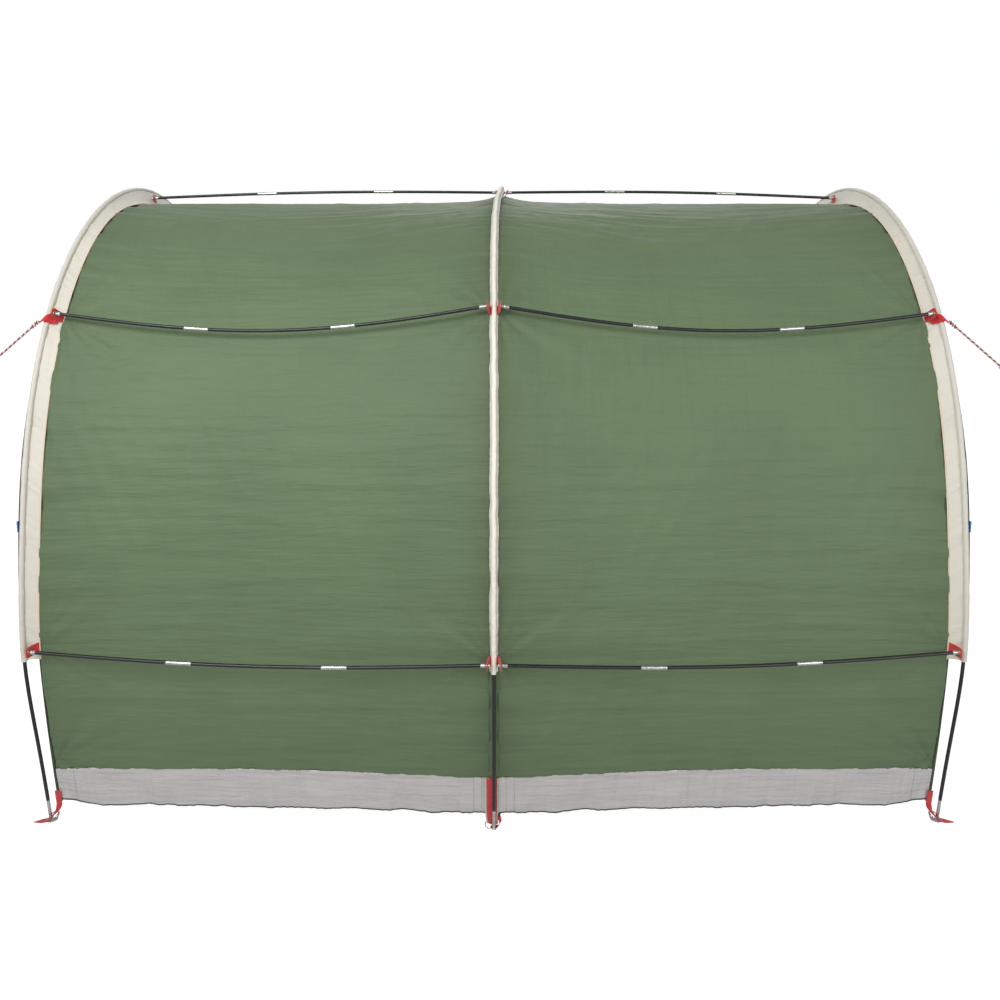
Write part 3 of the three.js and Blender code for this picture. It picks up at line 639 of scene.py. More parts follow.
def tab_creases(a, s, places, seed):
    """Creases that fan out from each sewn tab."""
    lift = np.zeros_like(a)
    for k, (pa, ps, reach, depth) in enumerate(places):
        da, ds = a - pa, s - ps
        r = np.hypot(da, ds) + 1e-4
        angle = np.arctan2(ds, np.abs(da))
        fan = folds(angle * 4.2 + 9, r * 1.5, seed + k)
        lift += depth * np.exp(-r / reach) * np.clip(r / 0.03, 0, 1) * fan
    return lift


def drag_lines(a, s, seed, pitch=0.034):
    """Fine folds that run across the bay, each one drifting up or down a little."""
    drift = 0.035 * noise(a / 0.30, s / 0.30, seed)
    drift += 0.16 * (a - 0.5 * BAY_WIDTH) * noise(a / 0.9, s / 0.5, seed + 8)
    return folds((s + drift) / pitch, a / 0.26, seed + 1) - 0.15


def fly_lift(u, s, seed):
    a = u * BAY_WIDTH
    far = BAY_WIDTH - a
    total = END.total
    from_foot = np.minimum(s, total - s)
    lift = 0.0016 * np.exp(-a / 0.035) * noise(s / 0.017, a / 0.08, seed)
    lift += 0.0020 * np.exp(-far / 0.045) * noise(s / 0.017 + 31, far / 0.08, seed + 1)
    lift += 0.0040 * np.exp(-a / 0.13) * noise(s / 0.055, a / 0.22, seed + 2)
    lift += 0.0042 * np.exp(-far / 0.17) * noise(s / 0.05 + 7, far / 0.3, seed + 3)
    high = np.clip((from_foot - 1.55) / 0.5, 0, 1)
    lift += (0.0014 + 0.0030 * high) * drag_lines(a, s, seed + 30)
    shoulder = np.exp(-((from_foot - 2.2) / 0.25) ** 2) * np.exp(-far / 0.30)
    lift += 0.0030 * shoulder * drag_lines(a, s, seed + 34, 0.055)
    slant = a * 0.80 + s * 0.60
    lift += 0.0022 * folds(slant / 0.055, (s - a) / 0.60, seed + 40) * np.clip(1.1 - from_foot, 0, 1)
    slant = a * 0.86 - s * 0.50
    lift += 0.0024 * folds(slant / 0.070, (s + a) / 0.50, seed + 44)
    lift += 0.0060 * noise(a / 0.55, s / 0.45, seed + 5) * np.sin(np.pi * u)
    spots = []
    for side in (1, -1):
        for tabs, reach, depth in ((UPPER_TAB, 0.26, 0.013), (LOWER_TAB, 0.22, 0.010)):
            near = tabs["centre"] * total / CENTRE.total
            at_end = tabs["end"]
            spots.append((0.0, near if side > 0 else total - near, reach, depth))
            spots.append((BAY_WIDTH, at_end if side > 0 else total - at_end, reach, depth))
    spots += [(0.0, total / 2, 0.20, 0.009), (BAY_WIDTH, total / 2, 0.20, 0.009)]
    spots += [(BAY_WIDTH, 0.2, 0.35, 0.010), (BAY_WIDTH, total - 0.2, 0.35, 0.010)]
    lift += tab_creases(a, s, spots, seed + 20)
    for seam in (YOKE_SEAM, total - YOKE_SEAM):
        d = s - seam
        lift += 0.0010 * np.exp(-((d / 0.006) ** 2))
        lift += 0.0014 * np.exp(-np.abs(d) / 0.03) * noise(a / 0.016, s / 0.1, seed + 9)
    hem = np.minimum(s - FLY_LOW, total - FLY_LOW - s)
    lift += 0.0020 * np.exp(-hem / 0.04) * noise(a / 0.02, s / 0.1, seed + 10)
    return lift


def bay_sheet(name, sign, s_values, columns, lift):
    u, s = np.meshgrid(np.linspace(0, 1, columns), s_values)
    points = bay_points(sign, u, s, lift(u, s))
    uv = np.stack([u * BAY_WIDTH, s], -1)
    if sign > 0:
        points, uv = points[:, ::-1], uv[:, ::-1]
    return sheet_mesh(name, points, uv)


def add_fly(side, sign):
    seed = 100  # the two bays are cut and pitched alike
    s = np.linspace(FLY_LOW, END.total - FLY_LOW, FLY_ROWS)
    fly = bay_sheet(f"fly_cloth_{side}", sign, s, FLY_COLUMNS, lambda u, s: fly_lift(u, s, seed))
    dress(fly, fly_cloth, "tent", [f"fly_{side}"])


def skirt_low(u):
    """The skirt's lower edge is drawn up a little at both corners."""
    rise = np.exp(-(((1 - u) * BAY_WIDTH) / 0.07) ** 2) + 0.3 * np.exp(-((u * BAY_WIDTH) / 0.06) ** 2)
    return 0.040 + 0.024 * rise


def skirt_lift(u, drop, seed):
    a = u * BAY_WIDTH
    loose = np.clip(drop, 0, 1)
    lift = 0.0055 * loose * noise(a / 0.085, drop * 0.8, seed)
    lift += 0.0035 * loose * noise(a / 0.035, drop * 1.5, seed + 1)
    lift += 0.0016 * noise(a / 0.012, drop * 2.0, seed + 2)
    lift += 0.004 * loose * folds(a / 0.13 + drop * 0.9, drop * 0.6, seed + 3)
    return lift - 0.001


def add_skirt(side, sign, end, front):
    seed = 300
    depth = FLY_LOW + 0.002
    u, drop = np.meshgrid(np.linspace(0, 1, SKIRT_COLUMNS), np.linspace(0, 1, SKIRT_ROWS))
    s = depth + (skirt_low(u) - depth) * drop
    lift = skirt_lift(u, drop, seed)
    points = bay_points(sign, u, s if front else END.total - s, lift)
    uv = np.stack([u * BAY_WIDTH, (1 - drop) * (depth - 0.04)], -1)
    if (sign < 0) == front:
        points, uv = points[::-1], uv[::-1]
    skirt = sheet_mesh(f"skirt_cloth_{side}_{end}", points, uv)
    dress(skirt, skirt_cloth, "tent", [f"skirt_{side}_{end}"])

    # The strip along the skirt's lower edge is a sewn hem, painted dark as painted shade for the shade under
    # its edge.
    u, t = np.meshgrid(np.linspace(0, 1, SKIRT_COLUMNS), np.linspace(-1, 1, 9))
    s = skirt_low(u) + 0.0012 + 0.0022 * t
    fold = 0.0008 * (1 - np.abs(t) ** 3)
    drop = (s - depth) / (skirt_low(u) - depth)
    points = bay_points(sign, u, s if front else END.total - s, skirt_lift(u, drop, seed) + 0.0006 + fold)
    uv = np.stack([u * BAY_WIDTH, 0.008 + 0.0022 * t], -1)
    if (sign < 0) != front:
        points, uv = points[::-1], uv[::-1]
    hem = sheet_mesh(f"skirt_hem_shade_{side}_{end}", points, uv)
    dress(hem, dark_cloth_and_hem_shade, "tent")


for side, sign in SIDES:
    add_fly(side, sign)
    for end, front in ENDS:
        add_skirt(side, sign, end, front)


# ---------------------------------------------------------------- pole sleeves
def sleeve_ripple(s, seed, fine=0.0011, broad=0.0016):
    return fine * noise(s / 0.013, s * 0, seed) + broad * noise(s / 0.05, s * 0, seed + 1)


def add_end_sleeve(side, sign):
    """The band and the loop round the pole, one strip of cloth folded over and sewn."""
    s = np.linspace(SLEEVE_LOW, END.total - SLEEVE_LOW, SLEEVE_ROWS)
    seam_reach = ARCH_X - SEAM_X
    band = [seam_reach - (seam_reach - 0.0086) * t for t in np.linspace(0, 1, 16)]
    angles = np.radians(np.linspace(-38, 300, 26))
    count = len(band) + len(angles)
    points = np.zeros((len(s), count, 3))
    uv = np.zeros((len(s), count, 2))
    at, _, out = END.frame(s)
    bulge = sum(np.exp(-(((s - f * END.total) / 0.036) ** 6)) for f in np.arange(1, 9) / 9)
    radius = SLEEVE_RADIUS + 0.0007 * bulge + 0.0004 * noise(s / 0.02, s * 0, 61)
    for j, reach in enumerate(band):
        t = j / (len(band) - 1)
        wave = sleeve_ripple(s + reach * 0.8, 40) * (0.6 + 0.8 * t)
        wave = wave + 0.0022 * noise(s / 0.11 + reach * 9, reach / 0.02 + s * 0, 43) * math.sin(math.pi * t)
        dip = CROWN_DROP * END.crownness(s) * (1 - t) ** 0.8
        level = SKIN_OFFSET + 0.0006 + (0.0070 * t**1.5) + wave - dip
        points[:, j, 0] = sign * (ARCH_X + END.bow_out(s) - reach)
        points[:, j, 1:] = at + out * level[:, None]
        uv[:, j, 0] = (seam_reach - reach)
    for k, a in enumerate(angles):
        j = len(band) + k
        r = radius + 0.00035 * noise(s / 0.009, s * 0 + a, 71)
        points[:, j, 0] = sign * (ARCH_X + END.bow_out(s) - r * math.cos(a))
        points[:, j, 1:] = at + out * (r * math.sin(a))[:, None]
        uv[:, j, 0] = seam_reach - 0.0086 + 0.0078 * (a - angles[0])
    uv[:, :, 1] = s[:, None]
    if sign > 0:
        points, uv = points[:, ::-1], uv[:, ::-1]
    sleeve = sheet_mesh(f"sleeve_band_{side}", points, uv)
    dress(sleeve, sleeve_cloth, "tent", [f"sleeve_{side}"])

    cord_s = np.linspace(SLEEVE_LOW, END.total - SLEEVE_LOW, 900)
    cord_line = bay_points(sign, np.full(900, 1.0), cord_s, np.full(900, 0.0022))
    piping = tube_mesh(f"piping_{side}", cord_line, 0.0019, sides=8)
    dress(piping, piping_cloth, "tent")


def add_centre_sleeve():
    s = np.linspace(SLEEVE_LOW - 0.012, CENTRE.total - SLEEVE_LOW + 0.012, SLEEVE_ROWS)
    at, _, out = CENTRE.frame(s)
    flange = np.linspace(-0.0130, -0.0086, 5)
    angles = np.radians(np.linspace(208, -28, 21))
    section = [(x, -0.0112 + 0.0045 * ((x + 0.0130) / 0.0044) ** 2) for x in flange]
    section += [(0.0082 * math.cos(a), 0.0086 * math.sin(a) + 0.0002) for a in angles]
    section += [(-x, y) for x, y in section[:5][::-1]]
    points = np.zeros((len(s), len(section), 3))
    uv = np.zeros((len(s), len(section), 2))
    run = 0.0
    drift = CENTRE_SWAY * CENTRE.crownness(s) + 0.0012 * noise(s / 0.045, s * 0, 84)
    drift += 0.0006 * noise(s / 0.011, s * 0, 85)
    for j, (x, y) in enumerate(section):
        if j:
            run += math.hypot(x - section[j - 1][0], y - section[j - 1][1])
        wave = 0.0009 * noise(s / 0.014, s * 0 + x * 60, 80) + 0.0012 * noise(s / 0.06, s * 0 + x * 30, 81)
        points[:, j, 0] = x + drift
        points[:, j, 1:] = at + out * (y + wave)[:, None]
        uv[:, j, 0] = run
    uv[:, :, 1] = s[:, None]
    sleeve = sheet_mesh("sleeve_cover_centre", points, uv)
    dress(sleeve, cover_cloth_painted_light, "tent", ["sleeve_centre"])


for side, sign in SIDES:
    add_end_sleeve(side, sign)
add_centre_sleeve()


# ---------------------------------------------------------------- modelling by hand
def pick(kind, wanted):
    """In edit mode, selects just the vertices, edges or faces that wanted is true of."""
    mesh = bmesh.from_edit_mesh(bpy.context.edit_object.data)
    bpy.ops.mesh.select_mode(type=kind)
    bpy.ops.mesh.select_all(action="DESELECT")
    for element in {"VERT": mesh.verts, "EDGE": mesh.edges, "FACE": mesh.faces}[kind]:
        if wanted(element):
            element.select_set(True)
    mesh.select_flush_mode()
    bmesh.update_edit_mesh(bpy.context.edit_object.data)


def start_rod(name, start, end, radius, sides, cuts):
    """A round bar along X with rounded rims, cut across so that it can be shaped and bent. It is left in
    edit mode."""
    deselect()
    bpy.ops.mesh.primitive_cylinder_add(vertices=sides, radius=radius, depth=end - start,
                                        location=((start + end) / 2, 0, 0), rotation=(0, math.pi / 2, 0))
    bpy.ops.object.transform_apply(location=True, rotation=True, scale=True)
    obj = bpy.context.object
    obj.name = name
    bpy.ops.object.mode_set(mode="EDIT")
    pick("EDGE", lambda e: abs(e.verts[0].co.x - e.verts[1].co.x) < 1e-6)
    bpy.ops.mesh.bevel(offset=radius * 0.18, segments=2)
    pick("EDGE", lambda e: abs(e.verts[0].co.x - e.verts[1].co.x) > (end - start) / 2)
    bpy.ops.mesh.subdivide(number_cuts=cuts)
    return obj


def straight_rod(name, start, end, radius, sides=16, cuts=60):
    obj = start_rod(name, start, end, radius, sides, cuts)
    bpy.ops.object.mode_set(mode="OBJECT")
    return obj


def straight_ferrule(name, start, end, radius, sides=24):
    """A steel tube with a crimped ring pressed in near each end and a slight waist at the middle."""
    cuts = 15
    obj = start_rod(name, start, end, radius, sides, cuts)
    step = (end - start) / (cuts + 1)
    middle = (start + end) / 2
    for place, squeeze in ((start + 2 * step, 0.93), (end - 2 * step, 0.93), (middle, 0.985)):
        pick("VERT", lambda v: abs(v.co.x - place) < step * 0.5)
        bpy.ops.transform.resize(value=(1, squeeze, squeeze), center_override=(place, 0, 0))
    bpy.ops.object.mode_set(mode="OBJECT")
    return obj


def bend_along(objects, line):
    """Bends straight pieces that lie along X onto a line of points."""
    curve = bpy.data.curves.new("bend_line", "CURVE")
    curve.dimensions = "3D"
    curve.use_radius = False
    spline = curve.splines.new("POLY")
    spline.points.add(len(line) - 1)
    for point, place in zip(spline.points, line):
        point.co = (*place, 1)
    guide = bpy.data.objects.new("bend_line", curve)
    bpy.context.scene.collection.objects.link(guide)
    for obj in objects:
        apply_modifier(obj, "CURVE", object=guide, deform_axis="POS_X")
    bpy.data.objects.remove(guide)


def add_pole(name, body, line, rod_span, ferrules, tips, replaces=(), tip_radius=TIP_RADIUS):
    """A black rod with steel sleeves and tips, made straight and then bent onto its line."""
    rod = straight_rod(f"{name}_rod", *rod_span, POLE_RADIUS, cuts=90)
    steel_parts = [straight_ferrule("ferrule", a, b, FERRULE_RADIUS if b - a > 0.05 else COLLAR_RADIUS)
                   for a, b in ferrules]
    steel_parts += [straight_ferrule("tip", a, b, tip_radius) for a, b in tips]
    bend_along([rod, *steel_parts], line)
    dress(finish_piece(rod, f"{name}_rod"), black_rod, body, replaces)
    dress(join_pieces(steel_parts, f"{name}_steel"), steel, body)


# ---------------------------------------------------------------- poles
def add_hoop_pole(side, x, hoop):
    s = np.linspace(0, hoop.total, 500)
    at, _, _ = hoop.frame(s)
    line = np.column_stack([x + hoop.shift(s, x), at])
    low, ferrule = 0.014, 0.062
    span = (low + ferrule - 0.006, hoop.total - low - ferrule + 0.006)
    feet = [(low, low + ferrule), (hoop.total - low - ferrule, hoop.total - low)]
    add_pole(f"hoop_pole_{side}", "tent", line, span, [], feet, [f"hoop_pole_{side}"],
             tip_radius=0.0050)


def grommet_place(hoop, x, s, front, stand_off=TAB_STAND_OFF):
    p = hoop.place(s, x, stand_off)
    return p if front else Vector((p.x, -p.y, p.z))


def add_spreader(name, body, outer, inner, bow, drop):
    past, bare, collar = 0.009, 0.008, 0.0195
    chord = inner - outer
    length = chord.length
    direction = chord.normalized()
    down = (drop - direction * drop.dot(direction)).normalized()
    line = []
    for s in np.linspace(-past, length + past, 160):
        line.append(outer + direction * s + down * (bow * math.sin(math.pi * s / length)))
    ferrules = [(past + t * length - FERRULE_LENGTH / 2, past + t * length + FERRULE_LENGTH / 2)
                for t in FERRULE_PLACES]
    whole = length + 2 * past
    ferrules += [(past + 0.0030, past + collar), (whole - past - collar, whole - past - 0.0030)]
    tips = [(0.0, past + bare + 0.006), (whole - past - bare - 0.006, whole)]
    add_pole(name, body, line, (past + bare, whole - past - bare), ferrules, tips, [name])


def add_spreaders(side, sign):
    down, up = Vector((0, 0, -1)), Vector((0, 0, 1))
    end_x, centre_x = sign * (ARCH_X - TAB_INSET), sign * CENTRE_TAB_INSET
    for end, front in ENDS:
        for level, tabs, bow in (("upper", UPPER_TAB, UPPER_BOW), ("lower", LOWER_TAB, LOWER_BOW)):
            name = f"spreader_{side}_{level}_{end}"
            outer = grommet_place(END, end_x, tabs["end"], front)
            inner = grommet_place(CENTRE, centre_x, tabs["centre"], front)
            add_spreader(name, name, outer, inner, bow, down)
    outer = grommet_place(END, sign * (ARCH_X - RIDGE_TAB_INSET), END.total / 2, True, RIDGE_STAND_OFF["end"])
    inner = grommet_place(CENTRE, centre_x, CENTRE.total / 2, True, RIDGE_STAND_OFF["centre"])
    add_spreader(f"spreader_{side}_ridge", "tent", outer, inner, RIDGE_BOW, up)


for side, x, hoop in HOOPS:
    add_hoop_pole(side, x, hoop)
for side, sign in SIDES:
    add_spreaders(side, sign)


# ---------------------------------------------------------------- webbing straps and grommets
def strap(name, line, across, width, thickness=0.0018, columns=9, offset=0.0):
    """A woven strap along a line of points. Across gives the way its width runs at each point."""
    line, across = np.asarray(line, float), np.asarray(across, float)
    width = np.broadcast_to(width, len(line))
    run = np.concatenate([[0], np.cumsum(np.linalg.norm(np.diff(line, axis=0), axis=1))])
    t = np.linspace(-0.5, 0.5, columns)
    points = line[:, None] + across[:, None] * (t[None, :] * width[:, None])[..., None]
    uv = np.stack([t[None, :] * width[:, None] + 0.5 * width.max(), np.repeat(run[:, None], columns, 1)], -1)
    obj = sheet_mesh(name, points, uv)
    apply_modifier(obj, "SOLIDIFY", thickness=thickness, offset=offset)
    apply_modifier(obj, "BEVEL", width=thickness * 0.3, segments=2, limit_method="ANGLE")
    activate(obj)
    bpy.ops.object.mode_set(mode="EDIT")
    bpy.ops.mesh.select_all(action="SELECT")
    bpy.ops.mesh.normals_make_consistent(inside=False)
    bpy.ops.object.mode_set(mode="OBJECT")
    return finish_piece(obj, name)


def eyelet(name, place):
    """A pressed brass eyelet whose hole runs along X."""
    deselect()
    bpy.ops.mesh.primitive_torus_add(major_radius=0.0068, minor_radius=0.0020, major_segments=32,
                                     minor_segments=12, location=place, rotation=(0, math.pi / 2, 0))
    bpy.ops.object.transform_apply(location=True, rotation=True, scale=True)
    obj = bpy.context.object
    bpy.ops.object.mode_set(mode="EDIT")
    bpy.ops.transform.resize(value=(0.9, 1, 1), center_override=place)
    _, y, z = place
    pick("VERT", lambda v: math.hypot(v.co.y - y, v.co.z - z) < 0.0053)
    bpy.ops.transform.resize(value=(1.7, 0.98, 0.98), center_override=place)
    bpy.ops.object.mode_set(mode="OBJECT")
    return finish_piece(obj, name)


def hoop_frame(hoop, x, s, front):
    """Place, direction up the hoop and outward normal as vectors, at the front or mirrored to the back."""
    (y, z), (ty, tz), (oy, oz) = hoop.frame(float(s))
    flip = 1 if front else -1
    shift = float(hoop.shift(s, x))
    return (np.array((x + shift, y * flip, z)), np.array((0, ty * flip, tz)), np.array((0, oy * flip, oz)))


def add_grommet_tab(name, hoop, x, s, front, stand_off, root, lean, width=0.034):
    """A short strap that rises from a seam to its eyelet. Lean is how far its root is set off along X."""
    at, along, out = hoop_frame(hoop, x, s, front)
    heights = np.linspace(root, stand_off + 0.0125, 22)
    t = (heights - root) / (heights[-1] - root)
    hole = (stand_off - root) / (heights[-1] - root)
    curl = lean * (1 - t / hole) + 0.0020 * np.sin((t - hole) * 5.0) * np.sign(lean)
    line = at + out * heights[:, None] + np.array((1.0, 0, 0)) * curl[:, None]
    across = np.repeat(along[None], len(t), 0)
    taper = width * (1 - 0.30 * np.clip((t - 0.72) / 0.28, 0, 1) ** 2) * (1.0 - 0.06 * (1 - t))
    tab = strap(f"{name}_tape", line, across, taper)
    ring = eyelet(f"{name}_eyelet", tuple(at + out * stand_off))
    return tab, ring


def add_end_tabs(side, sign):
    tabs = [("upper", UPPER_TAB["end"], end, front) for end, front in ENDS]
    tabs += [("lower", LOWER_TAB["end"], end, front) for end, front in ENDS]
    x = sign * (ARCH_X - TAB_INSET)
    for level, s, end, front in tabs:
        name = f"tab_{side}_{level}_{end}"
        tab, ring = add_grommet_tab(name, END, x, s, front, TAB_STAND_OFF, -0.0095, -0.014 * sign)
        dress(tab, red_tape, "tent", [name])
        dress(ring, brass, "tent")
    name = f"tab_{side}_ridge"
    x = sign * (ARCH_X - RIDGE_TAB_INSET)
    tab, ring = add_grommet_tab(name, END, x, END.total / 2, True, RIDGE_STAND_OFF["end"], -0.050,
                                -0.004 * sign)
    dress(tab, red_tape, "tent", [name])
    dress(ring, brass, "tent")


def add_centre_tabs():
    places = [("upper", UPPER_TAB["centre"], end, front, TAB_STAND_OFF, -0.0095) for end, front in ENDS]
    places += [("lower", LOWER_TAB["centre"], end, front, TAB_STAND_OFF, -0.0095) for end, front in ENDS]
    places += [("ridge", CENTRE.total / 2, "", True, RIDGE_STAND_OFF["centre"], -0.031)]
    for level, s, end, front, stand_off, root in places:
        name = f"tab_centre_{level}_{end}".strip("_")
        pieces, rings = [], []
        for _, sign in SIDES:
            tab, ring = add_grommet_tab("tab", CENTRE, 0.0, s, front, stand_off, root, -0.0095 * sign)
            for piece in (tab, ring):
                piece.data.transform(Matrix.Translation((sign * CENTRE_TAB_INSET, 0, 0)))
            pieces.append(tab)
            rings.append(ring)
        dress(join_pieces(pieces, f"{name}_tape"), red_tape, "tent", [name])
        dress(join_pieces(rings, f"{name}_eyelets"), brass, "tent")


def add_guy_band(side, sign, end, front):
    """Red tape from the tab's root over the sleeve to a small sewn loop outside it."""
    at, along, out = hoop_frame(END, sign * ARCH_X, UPPER_TAB["end"] - 0.010, front)
    sideways = np.array((float(sign), 0, 0))
    t = np.linspace(0, 1, 40)
    ease = t * t * (3 - 2 * t)
    x = -0.034 + 0.054 * t
    bulge = 0.0150 * np.exp(-((x / 0.0150) ** 2))
    height = -0.0045 + 0.0060 * ease + bulge
    slip = -0.012 * np.clip((x + 0.01) / 0.030, 0, 1) ** 1.4
    line = at + sideways * x[:, None] + out * height[:, None] + along * slip[:, None]
    width = 0.030 - 0.0200 * np.clip((x + 0.004) / 0.024, 0, 1) ** 0.8
    tilt = along + sideways * -0.28
    tilt = tilt / np.linalg.norm(tilt)
    across = np.repeat(tilt[None], len(t), 0)
    band = strap(f"guy_band_{side}_{end}", line, across, width, 0.0020)
    dress(band, red_tape, "tent")


for side, sign in SIDES:
    add_end_tabs(side, sign)
    for end, front in ENDS:
        add_guy_band(side, sign, end, front)
add_centre_tabs()


# ---------------------------------------------------------------- feet
def add_foot_pin(name, x, y):
    """A turned steel pin on a flange, with a rounded top and a groove for its ring."""
    deselect()
    bpy.ops.mesh.primitive_cylinder_add(vertices=32, radius=0.007, depth=0.004, location=(x, y, 0.002))
    bpy.ops.object.transform_apply(location=True, rotation=True, scale=True)
    obj = bpy.context.object
    bpy.ops.object.mode_set(mode="EDIT")
    pick("FACE", lambda f: f.normal.z > 0.9)
    bpy.ops.mesh.inset(thickness=0.002)
    for rise, squeeze in ((0.0035, 1.0), (0.0006, 0.82), (0.0012, 1.0), (0.0006, 1.22), (0.0021, 1.0)):
        bpy.ops.mesh.extrude_region_move(TRANSFORM_OT_translate={"value": (0, 0, rise)})
        bpy.ops.transform.resize(value=(squeeze, squeeze, 1), center_override=(x, y, 0))
    bpy.ops.mesh.bevel(offset=0.0007, segments=2)
    bpy.ops.object.mode_set(mode="OBJECT")
    dress(finish_piece(obj, f"{name}_turned"), steel, "tent", [name])


def add_ring(name, place, turn):
    """A bent steel ring that ties the foot strap to its pin."""
    deselect()
    bpy.ops.mesh.primitive_torus_add(major_radius=0.0125, minor_radius=0.0016, major_segments=36,
                                     minor_segments=10, location=place, rotation=turn)
    bpy.ops.object.transform_apply(location=True, rotation=True, scale=True)
    obj = bpy.context.object
    bpy.ops.object.mode_set(mode="EDIT")
    bpy.ops.transform.resize(value=(1.25, 1.0, 1.0), center_override=place)
    bpy.ops.object.mode_set(mode="OBJECT")
    dress(finish_piece(obj, name), steel, "tent")


def smooth_line(points, count):
    """A line of evenly spread points through a few rounded corners."""
    points = np.asarray(points, float)
    run = np.concatenate([[0], np.cumsum(np.linalg.norm(np.diff(points, axis=0), axis=1))])
    even = np.linspace(0, run[-1], count)
    line = np.column_stack([np.interp(even, run, points[:, i]) for i in range(3)])
    for _ in range(max(2, count // 10)):
        line[1:-1] = 0.25 * line[:-2] + 0.5 * line[1:-1] + 0.25 * line[2:]
    return line


def add_end_foot(side, sign, end, front):
    name = f"foot_strap_{side}_{end}"
    x = sign * (ARCH_X - TAB_INSET)
    ground, _, _ = hoop_frame(END, sign * ARCH_X, 0.0, front)
    inward = -1 if front else 1
    riser = []
    for s in np.linspace(0.098, 0.046, 6):
        at, _, out = hoop_frame(END, x, s, front)
        riser.append(at + out * -0.0075)
    outward = np.array((float(sign), 0, 0))
    low = riser[-1]
    path = riser + [low + outward * 0.006 + (0, 0, -0.018), ground + outward * -0.014 + (0, 0, 0.016),
                    ground + outward * -0.002 + (0, inward * 0.012, 0.003),
                    ground + outward * 0.018 + (0, inward * 0.016, 0.0016),
                    ground + outward * 0.043 + (0, inward * 0.022, 0.0016)]
    line = smooth_line(path, 48)
    t = np.linspace(0, 1, 48)
    width = np.interp(t, [0, 0.38, 0.50, 0.60, 0.72, 0.84, 1.0],
                      [0.018, 0.018, 0.011, 0.012, 0.022, 0.020, 0.003])
    turn = np.interp(t, [0, 0.38, 0.52, 0.66, 1.0], [0, 0, 0.35, 1.0, 1.0])
    flat = np.array((0, 1.0, 0))
    across = np.stack([outward * (1 - k) + flat * k * sign for k in turn])
    across /= np.linalg.norm(across, axis=1)[:, None]
    red = strap(f"{name}_tape", line, across, width, 0.0018)
    dress(red, red_tape, "tent", [name])
    loop = smooth_line([ground + outward * -0.030 + (0, inward * 0.003, 0.022),
                        ground + outward * -0.026 + (0, inward * 0.010, 0.006),
                        ground + outward * -0.006 + (0, inward * 0.017, 0.0018),
                        ground + outward * 0.012 + (0, inward * 0.012, 0.0018)], 30)
    across = np.repeat(np.array((0.35 * sign, 0.9, 0.2))[None], 30, 0) / np.linalg.norm((0.35, 0.9, 0.2))
    dress(strap(f"foot_loop_{side}_{end}", loop, across, 0.014, 0.0016), grey_tape, "tent")
    place = tuple(ground + outward * -0.010 + (0, 0, 0.011))
    add_ring(f"foot_ring_{side}_{end}", place, (0.25, math.radians(24) * sign, 0))


def add_centre_foot(end, front):
    name = f"foot_strap_centre_{end}"
    ground, _, _ = hoop_frame(CENTRE, 0.0, 0.0, front)
    inward = 1 if front else -1
    path = []
    for s in np.linspace(FLY_LOW + 0.006, 0.030, 14):
        at, _, out = hoop_frame(CENTRE, -0.007, s, front)
        path.append(at + out * -0.0098)
    path += [ground + (-0.004, inward * 0.012, 0.008), ground + (0, inward * 0.022, 0.0016),
             ground + (0, inward * 0.052, 0.0016)]
    line = smooth_line(path, 60)
    t = np.linspace(0, 1, 60)
    width = np.interp(t, [0, 0.55, 0.70, 0.84, 1.0], [0.033, 0.033, 0.028, 0.024, 0.016])
    across = np.repeat(np.array((1.0, 0, 0))[None], 60, 0)
    red = strap(f"{name}_tape", line, across, width, 0.0018, columns=11)
    dress(red, red_tape, "tent", [name])
    pieces = []
    for edge in (-1, 1):
        side_line = line[: 48] + across[:48] * (edge * (width[:48] / 2 + 0.0022))[:, None]
        pieces.append(strap("edge", side_line, across[:48], 0.0050, 0.0026, columns=5))
    dress(join_pieces(pieces, f"foot_binding_centre_{end}"), binding_tape, "tent")
    place = tuple(ground + (-0.012, inward * 0.006, 0.011))
    add_ring(f"foot_ring_centre_{end}", place, (1.2 * inward, 0.3, 0))
    loop = smooth_line([ground + (0.016, inward * 0.014, 0.034), ground + (0.021, inward * 0.010, 0.016),
                        ground + (0.012, inward * 0.004, 0.004),
                        ground + (-0.010, inward * 0.010, 0.0018)], 30)
    across = np.repeat(np.array((0.5, 0.8 * inward, 0.3))[None], 30, 0)
    across = across / np.linalg.norm(across[0])
    dress(strap(f"foot_loop_centre_{end}", loop, across, 0.013, 0.0016), red_tape, "tent")


binding_tape = webbing("binding_tape", srgb(196, 208, 194))
for side, x, hoop in HOOPS:
    for end, front in ENDS:
        ground, _, _ = hoop_frame(hoop, x, 0.0, front)
        add_foot_pin(f"foot_pin_{side}_{end}", ground[0], ground[1])
for end, front in ENDS:
    add_centre_foot(end, front)
    for side, sign in SIDES:
        add_end_foot(side, sign, end, front)


# ---------------------------------------------------------------- centre seam and foot gussets
def add_centre_seam(name, low, high, front, cloth):
    """The two bays are joined behind the middle pole by a narrow strip."""
    s = np.linspace(low, high, 500)
    crown = END.crownness(s * END.total / CENTRE.total)
    if not front:
        s = CENTRE.total - s
    at, _, out = CENTRE.frame(s)
    columns = np.linspace(-0.0165, 0.0165, 13)
    points = np.zeros((len(s), len(columns), 3))
    for j, x in enumerate(columns):
        lift = SKIN_OFFSET - 0.0012 + 0.0007 * noise(s / 0.016, s * 0 + x * 90, 210)
        lift -= CROWN_DROP * CENTRE_DROP_SHARE * crown
        points[:, j, 0] = x + CENTRE_SWAY * crown
        points[:, j, 1:] = at + out * lift[:, None]
    uv = np.stack(np.broadcast_arrays(columns[None, :] + 0.3, s[:, None]), -1)
    if not front:
        points, uv = points[::-1], uv[::-1]
    dress(sheet_mesh(name, points, uv), cloth, "tent")


